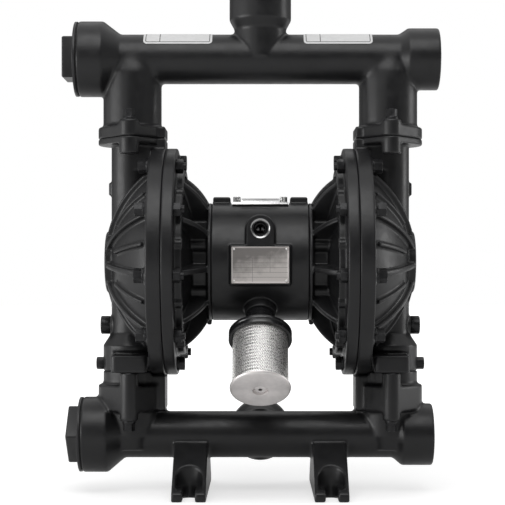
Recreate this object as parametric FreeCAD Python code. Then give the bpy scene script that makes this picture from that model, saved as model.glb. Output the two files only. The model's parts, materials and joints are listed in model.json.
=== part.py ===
"""Air-operated double diaphragm pump with 2-inch ports, modelled piece by piece.

Millimetres. The origin is on the floor under the middle of the pump, +Z is up, +X runs along the
chamber axis to the right, and the front, with the air inlet and the nameplate, faces -Y.
Right-hand pieces are drawn and left-hand ones are their mirror images.
"""
import FreeCAD, Part
import math
import os

from FreeCAD import Placement, Rotation, Vector

# Clearances
RUNNING_FIT = 0.05
THREAD_FIT = 0.05
BODY_GAP = 0.3
HOLE_CLEARANCE = 0.4
HEAD_CLEARANCE = 1.0
SPIGOT_CLEARANCE = 0.2
OVERRUN = 1.0
THREAD_RUNOUT = 3.0

# Layout of the pump
INLET_AXIS_HEIGHT = 74.0
INLET_TO_RIM = 77.5
RIM_TO_OUTLET = 116.5
LOWER_JOINT_ABOVE_RIM = 6.0
UPPER_JOINT_ABOVE_RIM = 11.5
COLUMN_OFFSET = 45.1

# Centre body
BODY_R = 76.0
BODY_HALF = 62.0
SHAFT_CLEAR_BORE_R = 12.5
VALVE_RISE = 42.0
VALVE_BORE_R = 15.0
TOP_FLAT_DROP = 4.0
TOP_PAD_WIDTH = 22.4
TOP_PAD_DEPTH = 26.0
TOP_PAD_PROUD = 7.5
TOP_PAD_INSET = 1.0
PLATE_PAD_WIDTH = 76.0
PLATE_PAD_HEIGHT = 50.0
PLATE_DROP = 5.0
PLATE_PAD_PROUD = 4.0
AIR_INLET_RISE = 40.6
AIR_INLET_BOSS_R = 17.8
AIR_INLET_PROUD = 3.5
AIR_THREAD_R = 9.3
AIR_THREAD_DEPTH = 18.0
AIR_CHAMFER = 2.7
AIR_PASSAGE_R = 5.0
AIR_PORT_ANGLE = 55.0
AIR_PORT_CIRCLE_R = 41.0
AIR_PORT_DEPTH = 35.0

# Air caps and fluid caps
AIR_CAP_DEPTH = 58.9
END_RING_THICKNESS = 4.5
AIR_HUB_R = 58.0
AIR_HUB_LENGTH = 19.5
AIR_FLOOR = 24.0
AIR_WALL = 6.5
AIR_WALL_AT_RIM = 2.8
AIR_BAND_FROM_BOLTS = 13.0
AIR_BAND_WIDTH = 8.0
AIR_BAND_PROUD = 10.0
AIR_LUG_R = 6.4
AIR_FIN_THICKNESS = 7.0
AIR_FIN_CREST_X = 17.0
AIR_FIN_CREST_DROP = 20.0
AIR_FIN_ROOT = 4.0
AIR_FIN_STEP = 1.5
FLANGE_R = 146.5
AIR_FLANGE_THICKNESS = 14.7
FLUID_FLANGE_THICKNESS = 18.6
SPLIT_CHAMFER = 1.0
FLUID_CAP_DEPTH = 78.1
HUB_R = 39.3
HUB_THICKNESS = 10.0
DOME_FROM_BOLTS = 15.0
DOME_BULGE_X = 51.1
DOME_BULGE_DROP = 38.0
DOME_WALL = 9.0
MAJOR_RIB_PROUD = 7.5
MAJOR_RIB_THICKNESS = 6.5
MAJOR_RIB_SPAN = (-0.08, 1.02)
MINOR_RIB_PROUD = 5.0
MINOR_RIB_THICKNESS = 5.0
MINOR_RIB_SPAN = (0.05, 0.72)

# Chamber fasteners
CHAMBER_BOLTS = 10
FIRST_BOLT_ANGLE = -8.0
BOLT_EDGE = 13.5
BOLT_R = 5.0
BOLT_FLATS = 16.0
BOLT_HEAD_HEIGHT = 10.0
BOLT_WASHER_R = 9.6
BOLT_WASHER_HEIGHT = 2.2
SPOT_BOSS_R = 11.0
SPOT_BOSS_HEIGHT = 2.2
NUT_HEIGHT = 9.5
THREAD_BEYOND_NUT = 4.0
SHORT_SCREW_GRIP = 12.0

# Fluid columns, ball cages and joints
DUCT_R = 27.2
DUCT_BORE_R = 20.0
CAGE_R = 37.6
CAGE_BORE_R = 30.0
CAGE_HEIGHT = 32.5
CAGE_SHOULDER = 16.0
JOINT_R = 44.0
JOINT_BAND_HEIGHT = 20.9
CAP_FLANGE_THICKNESS = 7.6
MANIFOLD_FLANGE_THICKNESS = 15.5
JOINT_BOLT_SPACING = 52.0
UPPER_BOSS_R = 12.5
UPPER_BOSS_BELOW = 22.0
UPPER_BOSS_ABOVE = 21.6
LOWER_BOSS_R = 11.5
LOWER_BOSS_LENGTH = 61.5
LOWER_PAD_HALF = 22.6
LOWER_PAD_ROUND = 6.0
JOINT_BOLT_R = 4.0
JOINT_BOLT_FLATS = 13.0
JOINT_BOLT_HEAD = 9.5
JOINT_WASHER_R = 8.6
JOINT_WASHER_HEIGHT = 3.5
STUB_NOTCH_HEIGHT = 18.0
STUB_SKIRT_HEIGHT = 50.5
STUB_R = 36.0
STUB_WEB_SHARE = 0.7
STUB_WEB_RISE = 8.0
STUB_WALL = 8.0
CAGE_GROOVE_DEPTH = 3.0
CAGE_GROOVE_HEIGHT = 4.6

# Check balls and seats
BALL_R = 24.0
BALL_LIFT = 14.0
SEAT_R = 33.7
SEAT_BORE_R = 19.0
SEAT_HEIGHT = 10.2
SEAT_TOP_TO_BALL = 9.2
SEAT_BELOW_FLANGE = 1.0
SEAT_RING_HEIGHT = 1.8
SEAT_RING_WIDTH = 3.2
CAGE_RIB_THICKNESS = 6.0
CAGE_RIB_ROOT = 1.0
GUIDE_CLEARANCE = 0.6

# Manifolds
PIPE_R = 32.0
INLET_PIPE_R = 30.0
PIPE_BORE_R = 24.5
PIPE_TAPER_SHARE = 0.6
LEG_R = 37.75
PORT_R = 40.0
PORT_THREAD_R = 28.3
PORT_THREAD_DEPTH = 24.0
PORT_LENGTH = 39.5
PORT_CONE = 12.0
PORT_MOUTH_CHAMFER = 3.0
OUTLET_RIGHT_REACH = 65.0
INLET_RIGHT_REACH = 56.6
CENTRE_PORT_REACH = 87.0
CENTRE_PORT_LENGTH = 37.0
CENTRE_NECK_R = 33.5
CENTRE_CONE = 12.0
BLANK_PORT_R = 48.75
BLANK_BORE_R = 36.0
BLANK_BORE_DEPTH = 26.0
BLANK_PORT_LENGTH = 32.0
BLANK_CONE = 22.0
OUTLET_LEFT_REACH = 69.0
INLET_LEFT_REACH = 63.2
PLUG_GASKET = 1.2
PLUG_FLANGE = 3.4
PLUG_SQUARE = 53.0
PLUG_HEAD = 15.5
PLUG_SHANK = 20.0
PLUG_WALL = 6.0
PLUG_RIM_INSET = 0.4
PLUG_GASKET_INSET = 2.5
PIPE_INSIDE_PORT = 4.0
EDGE_FILLET = 1.5

# Blank labels on the outlet pipe
LABEL_LENGTH = 88.5
LABEL_MIDDLES = (-106.0, 100.0)
LABEL_ANGLE = 30.0
LABEL_THICKNESS = 0.3
LABEL_GLUE = 0.1

# Feet
FOOT_SPACING = 88.6
FOOT_WIDTH = 43.0
FOOT_REACH = 104.0
FOOT_START_Y = 30.0
FOOT_START_Z = 67.0
FOOT_TOE_HEIGHT = 10.0
FOOT_BASE = 14.5
FOOT_POCKET_R = 16.5
FOOT_SLOT_R = 7.75
FOOT_BOLT_Y = 80.0
FOOT_SLOT_DEPTH = 9.25

# Shaft, diaphragms and plates
SHAFT_R = 11.0
SHAFT_END_R = 8.0
STROKE = 20.0
BUSHING_R = 16.0
BUSHING_LENGTH = 18.0
SEAL_LENGTH = 6.0
PLATE_R = 45.0
INNER_WASHER_THICKNESS = 8.0
OUTER_PLATE_RIM = 8.0
OUTER_PLATE_DOME = 17.0
OUTER_PLATE_BOSS_R = 12.0
DIAPHRAGM_THICKNESS = 5.0
DIAPHRAGM_RIM_THICKNESS = 8.0
DIAPHRAGM_RIM_WIDTH = 16.0
DIAPHRAGM_BULGE = 9.0
DIAPHRAGM_DISH = 1.9
GROOVE_FROM_BOLTS = 9.0
WEB_ROOM = 2.0
PLATE_ROOM = 3.0
PLATE_EDGE = 2.0

# Main air valve and pilot rod
SLEEVE_BORE_R = 10.5
SLEEVE_END = 10.0
SLEEVE_PORT_R = 3.0
SLEEVE_PORTS = 6
SPOOL_TRAVEL = 8.0
SPOOL_STEM_R = 5.5
SPOOL_LAND = 13.0
SPOOL_RING = 2.5
SPOOL_RING_DEPTH = 1.5
END_CAP_RECESS = 4.0
PILOT_R = 4.0
PILOT_OFFSET = 30.0
PILOT_RATIO = 0.2
PILOT_BUSH_R = 7.5
PILOT_BUSH_LENGTH = 16.0

# Valve cover
COVER_HALF = 36.0
COVER_BLOCK_HALF = 24.5
COVER_DEPTH = 54.0
COVER_GASKET = 1.2
COVER_LUG_THICKNESS = 3.0
COVER_THICKNESS = 7.5
COVER_SCREW_X = 30.0
COVER_SCREW_Y = 19.0
SCREW_HEAD_R = 4.7
SCREW_HEAD_HEIGHT = 7.0
SCREW_R = 2.8
SCREW_DEPTH = 12.0
SOCKET_FLATS = 4.5
SOCKET_DEPTH = 3.5

# Air cap screws and seals
CAP_SCREW_ANGLES = (20.0, 160.0, -40.0, -140.0)
CAP_SCREW_CIRCLE_R = 39.0
CAP_SCREW_R = 4.0
CAP_SCREW_HEAD_R = 6.5
CAP_SCREW_HEAD = 8.0
CAP_SCREW_DEPTH = 16.0
CAP_SCREW_BOSS_R = 8.0
CAP_NUB_R = 4.0
CAP_NUB_LENGTH = 6.0
CAP_SEAL_R = 66.0
CAP_SEAL_WIDTH = 3.0

# Nameplate
NAMEPLATE_WIDTH = 72.0
NAMEPLATE_HEIGHT = 46.0
NAMEPLATE_THICKNESS = 0.8
RIVET_INSET = 3.2
RIVET_R = 1.6
RIVET_HEAD = 0.9
RIVET_SHANK_R = 1.0
RIVET_SHANK = 3.0

# Muffler
MUFFLER_TILT = 38.0
MUFFLER_REACH = 201.5
MUFFLER_BOSS_R = 20.0
MUFFLER_BOSS_PROUD = 10.0
MUFFLER_NECK_R = 17.0
MUFFLER_THREAD_R = 13.0
MUFFLER_THREAD_DEPTH = 14.0
MUFFLER_CAP_R = 39.7
MUFFLER_CAP_HEIGHT = 15.0
MUFFLER_CAP_CONE = 4.5
MUFFLER_CAP_NARROW = 0.62
MUFFLER_BRIDGE = 3.0
MUFFLER_BRIDGE_WIDTH = 8.0
MUFFLER_MESH_R = 35.0
MUFFLER_MESH_WALL = 2.0
MUFFLER_MESH_LENGTH = 72.0
MUFFLER_DISC_R = 37.5
MUFFLER_DISC_HEIGHT = 4.0
MUFFLER_DISC_ROLL = 1.5
MUFFLER_DISC_SINK = 1.0
MUFFLER_DIMPLE_R = 9.5
MUFFLER_DIMPLE_DEPTH = 1.6
MUFFLER_ROD_R = 2.3
EXHAUST_R = 9.0
EXHAUST_START = 31.0

# Side plugs of the fluid caps
DRAIN_FLATS = 14.0
DRAIN_HEAD = 12.0
DRAIN_SHANK_R = 4.5
DRAIN_RISE = 9.0
DRAIN_SEAT_DEPTH = 3.1
PURGE_R = 11.8
PURGE_HEAD = 11.5
PURGE_SHANK_R = 6.0
PURGE_RISE = 58.5
PURGE_BOSS_PROUD = 2.0
DUCT_PAD_DROP = 64.0
DUCT_PAD = 16.0
DUCT_PAD_PROUD = 3.0

# Places that follow from the sizes above
AXIS_Z = INLET_AXIS_HEIGHT + INLET_TO_RIM + FLANGE_R
OUTLET_Z = AXIS_Z + FLANGE_R + RIM_TO_OUTLET
UPPER_JOINT_Z = AXIS_Z + FLANGE_R + UPPER_JOINT_ABOVE_RIM
LOWER_JOINT_Z = AXIS_Z - FLANGE_R + LOWER_JOINT_ABOVE_RIM
SPLIT_X = BODY_HALF + AIR_CAP_DEPTH
FLANGE_INNER_X = SPLIT_X - AIR_FLANGE_THICKNESS
FLANGE_OUTER_X = SPLIT_X + FLUID_FLANGE_THICKNESS
COLUMN_X = SPLIT_X + COLUMN_OFFSET
HUB_X = SPLIT_X + FLUID_CAP_DEPTH
AIR_FLOOR_X = BODY_HALF + AIR_FLOOR
BOLT_CIRCLE_R = FLANGE_R - BOLT_EDGE
BOLT_ANGLES = [FIRST_BOLT_ANGLE + 360.0 / CHAMBER_BOLTS * k for k in range(CHAMBER_BOLTS)]
HALF_ANGLES = [angle + 180.0 / CHAMBER_BOLTS for angle in BOLT_ANGLES]
AIR_BAND_R = BOLT_CIRCLE_R - AIR_BAND_FROM_BOLTS
DOME_R = BOLT_CIRCLE_R - DOME_FROM_BOLTS
DOME_BULGE_R = DOME_R - DOME_BULGE_DROP
GROOVE_R = BOLT_CIRCLE_R - GROOVE_FROM_BOLTS
DIAPHRAGM_R = GROOVE_R - BODY_GAP
DIAPHRAGM_WEB_R = GROOVE_R - DIAPHRAGM_RIM_WIDTH
DIAPHRAGM_INNER_X = SPLIT_X - DIAPHRAGM_THICKNESS / 2 - DIAPHRAGM_DISH
DIAPHRAGM_OUTER_X = DIAPHRAGM_INNER_X + DIAPHRAGM_THICKNESS
SHAFT_SHOULDER_X = DIAPHRAGM_INNER_X - INNER_WASHER_THICKNESS
UPPER_SEAT_TOP = UPPER_JOINT_Z + SEAT_HEIGHT
UPPER_BALL_Z = UPPER_SEAT_TOP + SEAT_TOP_TO_BALL
LOWER_SEAT_TOP = AXIS_Z - FLANGE_R - SEAT_BELOW_FLANGE
LOWER_BALL_Z = LOWER_SEAT_TOP + SEAT_TOP_TO_BALL
VALVE_Z = AXIS_Z + VALVE_RISE
TOP_FLAT_Z = AXIS_Z + BODY_R - TOP_FLAT_DROP
COVER_Z = TOP_FLAT_Z + COVER_GASKET
PLATE_Z = AXIS_Z - PLATE_DROP
PLATE_FACE_Y = -(BODY_R + PLATE_PAD_PROUD)
AIR_INLET_Z = AXIS_Z + AIR_INLET_RISE
AIR_INLET_FACE_Y = -(BODY_R + AIR_INLET_PROUD)
TOP_PAD_X = BODY_HALF - TOP_PAD_INSET - TOP_PAD_WIDTH / 2
AIR_PORT_X = BODY_HALF - AIR_PORT_DEPTH + AIR_PASSAGE_R
MUFFLER_ROOM = MUFFLER_CAP_HEIGHT - MUFFLER_CAP_CONE
SLEEVE_HALF = BODY_HALF - SLEEVE_END
PILOT_HALF = SHAFT_SHOULDER_X - STROKE + STROKE * PILOT_RATIO - BODY_GAP

ORIGIN = Vector(0, 0, 0)
X, Y, Z = Vector(1, 0, 0), Vector(0, 1, 0), Vector(0, 0, 1)
CHAMBER = Vector(0, 0, AXIS_Z)
RIGHT, LEFT = 1, -1
SIDES = (("right", RIGHT), ("left", LEFT))


def cylinder(radius, length, start, axis=Z):
    """Cylinder from a point along an axis."""
    return Part.makeCylinder(radius, length, start, axis)


def cone(radius, end_radius, length, start, axis=Z):
    """Cone frustum from a point along an axis."""
    return Part.makeCone(radius, end_radius, length, start, axis)


def ring(outer, inner, length, start, axis=Z):
    """Flat ring from a point along an axis."""
    return cylinder(outer, length, start, axis).cut(
        cylinder(inner, length + 2 * OVERRUN, start - axis * OVERRUN, axis))


def block(low, high):
    """Box between two corners."""
    size = high - low
    return Part.makeBox(size.x, size.y, size.z, low)


def fuse(shapes):
    """One solid from several that overlap."""
    return shapes[0].multiFuse(shapes[1:]).removeSplitter()


def group(shapes):
    """Separate solids kept in one node."""
    return Part.makeCompound(shapes)


def sided(shape, side):
    """The right-hand shape itself, or its mirror image for the left."""
    return shape if side == RIGHT else shape.mirror(ORIGIN, X)


def both_sides(shape):
    """A right-hand shape and its mirror image."""
    return [shape, sided(shape, LEFT)]


def outline(start, steps):
    """Face in the XY plane; a step is a point, or a (through, end) pair for an arc."""
    edges = []
    here = Vector(start[0], start[1], 0)
    for step in list(steps) + [start]:
        if isinstance(step[0], tuple):
            through = Vector(step[0][0], step[0][1], 0)
            end = Vector(step[1][0], step[1][1], 0)
            edges.append(Part.Arc(here, through, end).toShape())
        else:
            end = Vector(step[0], step[1], 0)
            edges.append(Part.LineSegment(here, end).toShape())
        here = end
    return Part.Face(Part.Wire(edges))


def turned(start, steps):
    """Solid turned about the chamber axis from an outline of (x, radius) points."""
    solid = outline(start, steps).revolve(ORIGIN, X, 360)
    solid.translate(CHAMBER)
    return solid


def turned_up(start, steps):
    """Solid turned about +Z from an outline of (radius, height) points."""
    face = outline(start, steps)
    face.rotate(ORIGIN, X, 90)
    return face.revolve(ORIGIN, Z, 360)


def ring_point(x, radius, angle):
    """Point on a circle about the chamber axis; 0 degrees is the front and 90 the top."""
    a = math.radians(angle)
    return Vector(x, -radius * math.cos(a), AXIS_Z + radius * math.sin(a))


def radial_web(face, thickness, angle):
    """Web that stands in a plane through the chamber axis, from an (x, radius) face."""
    web = face.extrude(Vector(0, 0, thickness))
    web.translate(Vector(0, 0, -thickness / 2))
    web.rotate(ORIGIN, X, 180 - angle)
    web.translate(CHAMBER)
    return web


def hexagon(flats, height):
    """Hexagonal prism along +Z with its top corners turned off."""
    corner_r = flats / math.sqrt(3)
    top_r = flats / 2 * 0.97
    base_r = corner_r + 2 * height
    points = [Vector(corner_r * math.cos(math.radians(60 * k)),
                     corner_r * math.sin(math.radians(60 * k)), 0) for k in range(7)]
    prism = Part.Face(Part.makePolygon(points)).extrude(Vector(0, 0, height))
    turning = cone(base_r, top_r, (base_r - top_r) * math.tan(math.radians(30)), ORIGIN)
    turning.translate(Vector(0, 0, height - turning.BoundBox.ZLength))
    return prism.common(turning)


def square(side, height):
    """Square prism along +Z, centred, with small corner chamfers."""
    half = side / 2
    prism = block(Vector(-half, -half, 0), Vector(half, half, height))
    rim = [edge for edge in prism.Edges if edge.BoundBox.ZLength > height / 2
           or edge.BoundBox.ZMin > height / 2]
    return prism.makeChamfer(EDGE_FILLET, rim)


def aimed(shape, start, axis, spin=0.0):
    """Shape drawn along +Z, moved to a point and turned to an axis."""
    result = shape.copy()
    result.Placement = Placement(start, Rotation(Z, axis).multiply(Rotation(Z, spin)))
    return result


def washer_bolt(flats, head, washer_r, washer, shank_r, shank):
    """Flanged hex bolt: head above z = 0, shank below."""
    return fuse([aimed(hexagon(flats, head), Vector(0, 0, washer), Z),
                 cone(washer_r, washer_r * 0.92, washer, ORIGIN),
                 cylinder(shank_r, shank, Vector(0, 0, -shank))])


def socket_screw(head_r, head, shank_r, shank):
    """Socket cap screw: head above z = 0, shank below."""
    body = fuse([cylinder(head_r, head, ORIGIN), cylinder(shank_r, shank, Vector(0, 0, -shank))])
    socket = aimed(hexagon(SOCKET_FLATS, head), Vector(0, 0, head - SOCKET_DEPTH), Z)
    return body.cut(socket)


def edges_at(shape, axis, value, radius):
    """Circular edges of a given radius in a plane across X, Y or Z."""
    found = []
    for edge in shape.Edges:
        curve = edge.Curve
        if not isinstance(curve, Part.Circle) or abs(curve.Radius - radius) > 0.01:
            continue
        if abs(curve.Center.dot(axis) - value) < 0.01 and abs(abs(curve.Axis.dot(axis)) - 1) < 0.001:
            found.append(edge)
    return found


def flow_passage(seat_top, ball_z, narrow_r, end_z, grow=0.0):
    """Room of a check ball and the narrower duct above it."""
    wide_top = ball_z + BALL_LIFT + BALL_R / 3
    narrow_z = wide_top + CAGE_SHOULDER
    return fuse([
        cylinder(CAGE_BORE_R + grow, wide_top - seat_top, Vector(COLUMN_X, 0, seat_top)),
        cone(CAGE_BORE_R + grow, narrow_r + grow, CAGE_SHOULDER, Vector(COLUMN_X, 0, wide_top)),
        cylinder(narrow_r + grow, end_z - narrow_z, Vector(COLUMN_X, 0, narrow_z))])


def cage_ribs(seat_top, ball_z, narrow_r):
    """Four ribs that guide a check ball and stop it at the top of its lift."""
    top = ball_z + BALL_LIFT + BALL_R + CAGE_RIB_THICKNESS
    start = seat_top + SEAT_TOP_TO_BALL
    half = CAGE_BORE_R + CAGE_RIB_ROOT
    across = CAGE_RIB_THICKNESS / 2
    cross = fuse([
        block(Vector(COLUMN_X - half, -across, start), Vector(COLUMN_X + half, across, top)),
        block(Vector(COLUMN_X - across, -half, start), Vector(COLUMN_X + across, half, top))])
    cross.rotate(Vector(COLUMN_X, 0, 0), Z, 45)
    ribs = cross.common(flow_passage(seat_top, ball_z, narrow_r, top + OVERRUN, grow=CAGE_RIB_ROOT))
    highest = Vector(COLUMN_X, 0, ball_z + BALL_LIFT)
    travel_r = BALL_R + GUIDE_CLEARANCE
    travel = fuse([
        cylinder(travel_r, highest.z - start + OVERRUN, Vector(COLUMN_X, 0, start - OVERRUN)),
        Part.makeSphere(travel_r, highest),
        cylinder(BALL_R / 3, top - highest.z + OVERRUN, highest)])
    return ribs.cut(travel)


def air_cap():
    """Right-hand air cap: end ring, hub, finned cone and clamping flange."""
    ring_x = BODY_HALF + END_RING_THICKNESS
    hub_x = ring_x + AIR_HUB_LENGTH
    band_x = FLANGE_INNER_X - AIR_BAND_PROUD
    band_inner_r = AIR_BAND_R - AIR_BAND_WIDTH
    cone_x = FLANGE_INNER_X - AIR_FIN_ROOT
    groove_x = SPLIT_X - DIAPHRAGM_RIM_THICKNESS / 2
    bore_r = SHAFT_R + HEAD_CLEARANCE
    shell = turned((BODY_HALF, bore_r), [
        (BODY_HALF, BODY_R), (ring_x, BODY_R), (ring_x, AIR_HUB_R), (hub_x, AIR_HUB_R),
        (cone_x, band_inner_r), (band_x, band_inner_r), (band_x, AIR_BAND_R),
        (FLANGE_INNER_X, AIR_BAND_R), (FLANGE_INNER_X, FLANGE_R - SPLIT_CHAMFER),
        (FLANGE_INNER_X + SPLIT_CHAMFER, FLANGE_R), (SPLIT_X - SPLIT_CHAMFER, FLANGE_R),
        (SPLIT_X, FLANGE_R - SPLIT_CHAMFER), (SPLIT_X, bore_r)])
    fin_low_r = AIR_HUB_R - AIR_FIN_ROOT
    fin_high_r = band_inner_r + AIR_FIN_STEP
    fin = outline((ring_x - OVERRUN, BODY_R - AIR_FIN_STEP), [
        ((ring_x + AIR_FIN_CREST_X, AIR_BAND_R - AIR_FIN_CREST_DROP), (cone_x - AIR_FIN_STEP, fin_high_r)),
        (cone_x + AIR_FIN_ROOT / 2, fin_high_r), (hub_x + AIR_FIN_ROOT / 2, fin_low_r),
        (ring_x - OVERRUN, fin_low_r)])
    lug_r = AIR_BAND_R - AIR_LUG_R / 2
    pieces = [shell, cylinder(CAP_NUB_R, CAP_NUB_LENGTH,
                              ring_point(BODY_HALF + HEAD_CLEARANCE, BODY_R + CAP_NUB_R / 2, -90), X)]
    pieces += [radial_web(fin, AIR_FIN_THICKNESS, angle) for angle in BOLT_ANGLES]
    pieces += [cylinder(AIR_LUG_R, AIR_BAND_PROUD + 2 * OVERRUN,
                        ring_point(band_x - OVERRUN, lug_r, angle), X) for angle in HALF_ANGLES]
    pieces += [cylinder(CAP_SCREW_BOSS_R, AIR_HUB_LENGTH + 2 * OVERRUN,
                        ring_point(ring_x - OVERRUN, AIR_HUB_R, angle), X) for angle in CAP_SCREW_ANGLES]
    cap = fuse(pieces)
    web_r = DIAPHRAGM_WEB_R - WEB_ROOM
    hollow = turned((AIR_FLOOR_X, 0), [
        (AIR_FLOOR_X, PLATE_R + PLATE_ROOM), (hub_x + AIR_WALL, AIR_HUB_R),
        (FLANGE_INNER_X + AIR_WALL_AT_RIM, web_r), (groove_x, web_r), (groove_x, GROOVE_R),
        (SPLIT_X + OVERRUN, GROOVE_R), (SPLIT_X + OVERRUN, 0)])
    tools = [hollow]
    bolt_low = FLANGE_INNER_X - OVERRUN
    tools += [cylinder(BOLT_R + HOLE_CLEARANCE, AIR_FLANGE_THICKNESS + 2 * OVERRUN,
                       ring_point(bolt_low, BOLT_CIRCLE_R, angle), X) for angle in BOLT_ANGLES]
    through = AIR_FLOOR + 2 * OVERRUN
    face_x = BODY_HALF - OVERRUN
    for angle in CAP_SCREW_ANGLES:
        tools.append(cylinder(CAP_SCREW_R + HOLE_CLEARANCE, through,
                              ring_point(face_x, CAP_SCREW_CIRCLE_R, angle), X))
        tools.append(cylinder(CAP_SCREW_HEAD_R + HOLE_CLEARANCE, CAP_SCREW_HEAD + OVERRUN,
                              ring_point(AIR_FLOOR_X - CAP_SCREW_HEAD, CAP_SCREW_CIRCLE_R, angle), X))
    tools.append(cylinder(PILOT_R + HEAD_CLEARANCE, through, Vector(face_x, PILOT_OFFSET, AXIS_Z), X))
    tools.append(cylinder(AIR_PASSAGE_R, through, ring_point(face_x, AIR_PORT_CIRCLE_R, AIR_PORT_ANGLE), X))
    return cap.cut(tools)


def dome_arc():
    """Circle of the fluid cap's dome outline, in the plane of (x, radius)."""
    return Part.Arc(Vector(FLANGE_OUTER_X, DOME_R, 0), Vector(SPLIT_X + DOME_BULGE_X, DOME_BULGE_R, 0),
                    Vector(HUB_X - HUB_THICKNESS, HUB_R, 0)).toShape().Curve


def dome_point(offset, share):
    """Point beside the dome's outline, at a share of the way from the flange to the hub."""
    arc = dome_arc()
    centre, radius = arc.Center, arc.Radius
    first = math.atan2(DOME_R - centre.y, FLANGE_OUTER_X - centre.x)
    last = math.atan2(HUB_R - centre.y, HUB_X - HUB_THICKNESS - centre.x)
    a = first + (last - first) * share
    return (centre.x + (radius + offset) * math.cos(a), centre.y + (radius + offset) * math.sin(a))


def dome_rib(proud, thickness, span, angle):
    """Rib along the dome between two shares of its outline."""
    start, end = span
    middle = (start + end) / 2
    root = -DOME_WALL / 2
    face = outline(dome_point(root, start), [
        dome_point(proud, start), (dome_point(proud, middle), dome_point(proud, end)),
        dome_point(root, end), (dome_point(root, middle), dome_point(root, start))][:-1])
    return radial_web(face, thickness, angle)


def joint_plate(radius, boss_r, low_z, high_z, inner_x):
    """Plate of a column joint: an oval over both bolt bosses, squared off towards the chamber."""
    lean = math.acos((radius - boss_r) / JOINT_BOLT_SPACING)
    flank = [(radius * math.sin(lean), radius * math.cos(lean)),
             (boss_r * math.sin(lean), JOINT_BOLT_SPACING + boss_r * math.cos(lean))]
    quarter = flank + [(-x, y) for x, y in reversed(flank)]
    points = [Vector(COLUMN_X + x, y, low_z) for x, y in quarter + [(-x, -y) for x, y in quarter]]
    oval = Part.Face(Part.makePolygon(points + points[:1])).extrude(Z * (high_z - low_z))
    return fuse([
        oval, cylinder(radius, high_z - low_z, Vector(COLUMN_X, 0, low_z)),
        block(Vector(inner_x, -DUCT_R, low_z), Vector(COLUMN_X, DUCT_R, high_z))])


def front_pad(low_z, high_z):
    """Broad pad round the front bolt of a fluid cap's lower joint."""
    front_y = -JOINT_BOLT_SPACING - LOWER_BOSS_R
    pad = block(Vector(COLUMN_X - LOWER_PAD_HALF, front_y, low_z),
                Vector(COLUMN_X + LOWER_PAD_HALF, 0, high_z))
    corners = [edge for edge in pad.Edges
               if edge.BoundBox.YMax < front_y + OVERRUN and edge.BoundBox.ZLength > OVERRUN]
    return pad.makeFillet(LOWER_PAD_ROUND, corners)


def bosses(radius, low_z, high_z, y=JOINT_BOLT_SPACING):
    """Front and back bolt bosses of a column joint."""
    return [cylinder(radius, high_z - low_z, Vector(COLUMN_X, at, low_z)) for at in (-y, y)]


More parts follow.
